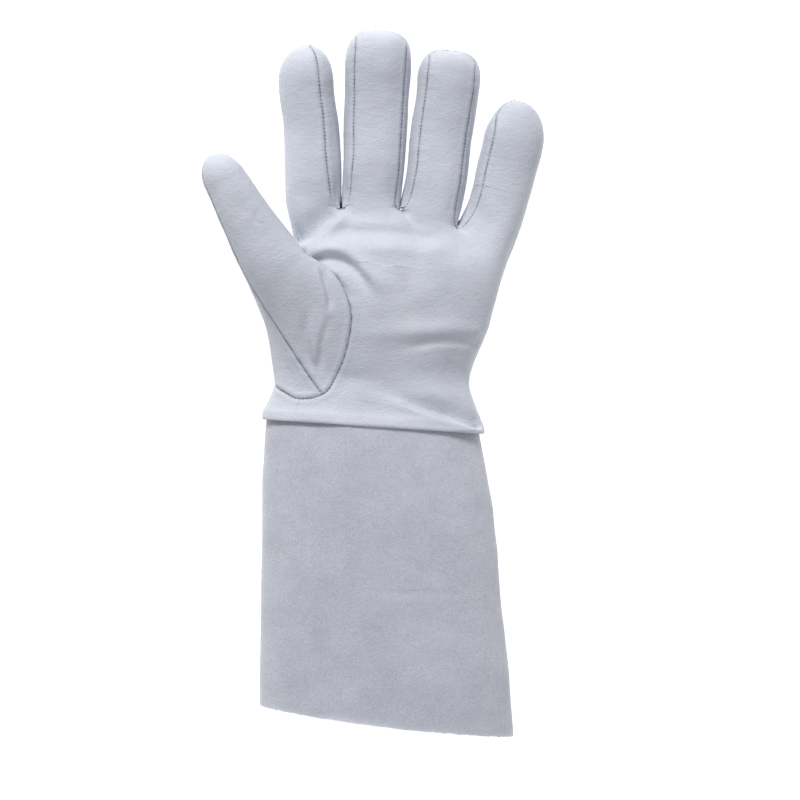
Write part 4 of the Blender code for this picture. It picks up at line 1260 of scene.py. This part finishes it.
# The back panel's seams that have a fourchette on their other side.
BACK_EDGES = {"index": (-1,), "middle": (-1, 0), "ring": (-1, 0), "little": (0,), "thumb": ()}
for digit in DIGITS:
    for part in ("root", "tip"):
        rows = seam_rows(f"{digit}_{part}_front", EDGES)
        rows += seam_rows(f"{digit}_{part}_back", BACK_EDGES[digit])
        bend_digit(thread_piece(f"{digit}_{part}_stitches", rows), digit, part)
hole_seam = [np.concatenate([of["palm"][hole_rows, -1], of["back"][hole_rows, 0][-2::-1]])
             for of in (outer, normals)]
outer_seam = [of["palm"][HEM_ROWS:, 0] for of in (outer, normals)]
bend_at_wrist(thread_piece("hand_stitches", [stitch_row(*hole_seam), stitch_row(*outer_seam)]))

# %% [markdown]
# ## Studio
# A plain white floor, lit as well as a light table, a big soft key light from above the fingertips
# and to the left, and a weaker fill. The camera looks straight down at the palm.

# %% Floor
FLOOR_HALF, FLOOR_DROP = 6.0, 0.0006
floor_mesh = bpy.data.meshes.new("floor")
corners = [(x, y, -FLOOR_DROP) for x, y in ((-1, -1), (1, -1), (1, 1), (-1, 1))]
floor_mesh.from_pydata([(x * FLOOR_HALF, y * FLOOR_HALF, z) for x, y, z in corners], [], [(0, 1, 2, 3)])
floor = bpy.data.objects.new("floor", floor_mesh)
bpy.context.scene.collection.objects.link(floor)
paper = finish("white_paper", Roughness=0.9, Specular_IOR_Level=0.1, Base_Color=(0.55, 0.55, 0.55, 1),
               Emission_Color=(1, 1, 1, 1), Emission_Strength=0.8)[0]
floor_mesh.materials.append(paper)
print("floor side in m:", 2 * FLOOR_HALF)

# %% Lights


def soft_light(name, position, size, power):
    """A square area light of this size in metres, aimed at the glove's middle."""
    data = bpy.data.lights.new(name, "AREA")
    data.shape, data.size, data.energy = "SQUARE", size, power
    obj = bpy.data.objects.new(name, data)
    obj.location = position
    obj.rotation_euler = (-Vector(position)).to_track_quat("-Z", "Y").to_euler()
    bpy.context.scene.collection.objects.link(obj)


soft_light("key_light", (-0.6, 2.6, 1.55), 1.0, 86)
soft_light("fill_light", (0.5, -1.3, 1.6), 1.6, 9)
world = bpy.data.worlds.new("studio")
world.use_nodes = True
sky = world.node_tree.nodes["Background"]
sky.inputs["Color"].default_value = linear("#f4f6fb")
sky.inputs["Strength"].default_value = 0.33
bpy.context.scene.world = world
bpy.context.scene.view_settings.view_transform = "Standard"
print("lights:", [light.name for light in bpy.data.lights])

# %% Camera
# The camera's place across and along the glove in millimetres, its lens, and its height in metres.
CAMERA_AT, CAMERA_LENS, CAMERA_HEIGHT = (13.0, -8.75), 180.0, 2.018
camera_data = bpy.data.cameras.new("camera")
camera_data.lens, camera_data.sensor_width = CAMERA_LENS, 36.0
camera_data.clip_start, camera_data.clip_end = 0.05, 20.0
camera = bpy.data.objects.new("camera", camera_data)
camera.location = (CAMERA_AT[0] * MM, CAMERA_AT[1] * MM, CAMERA_HEIGHT)
bpy.context.scene.collection.objects.link(camera)
bpy.context.scene.camera = camera
print("camera height in m:", CAMERA_HEIGHT)
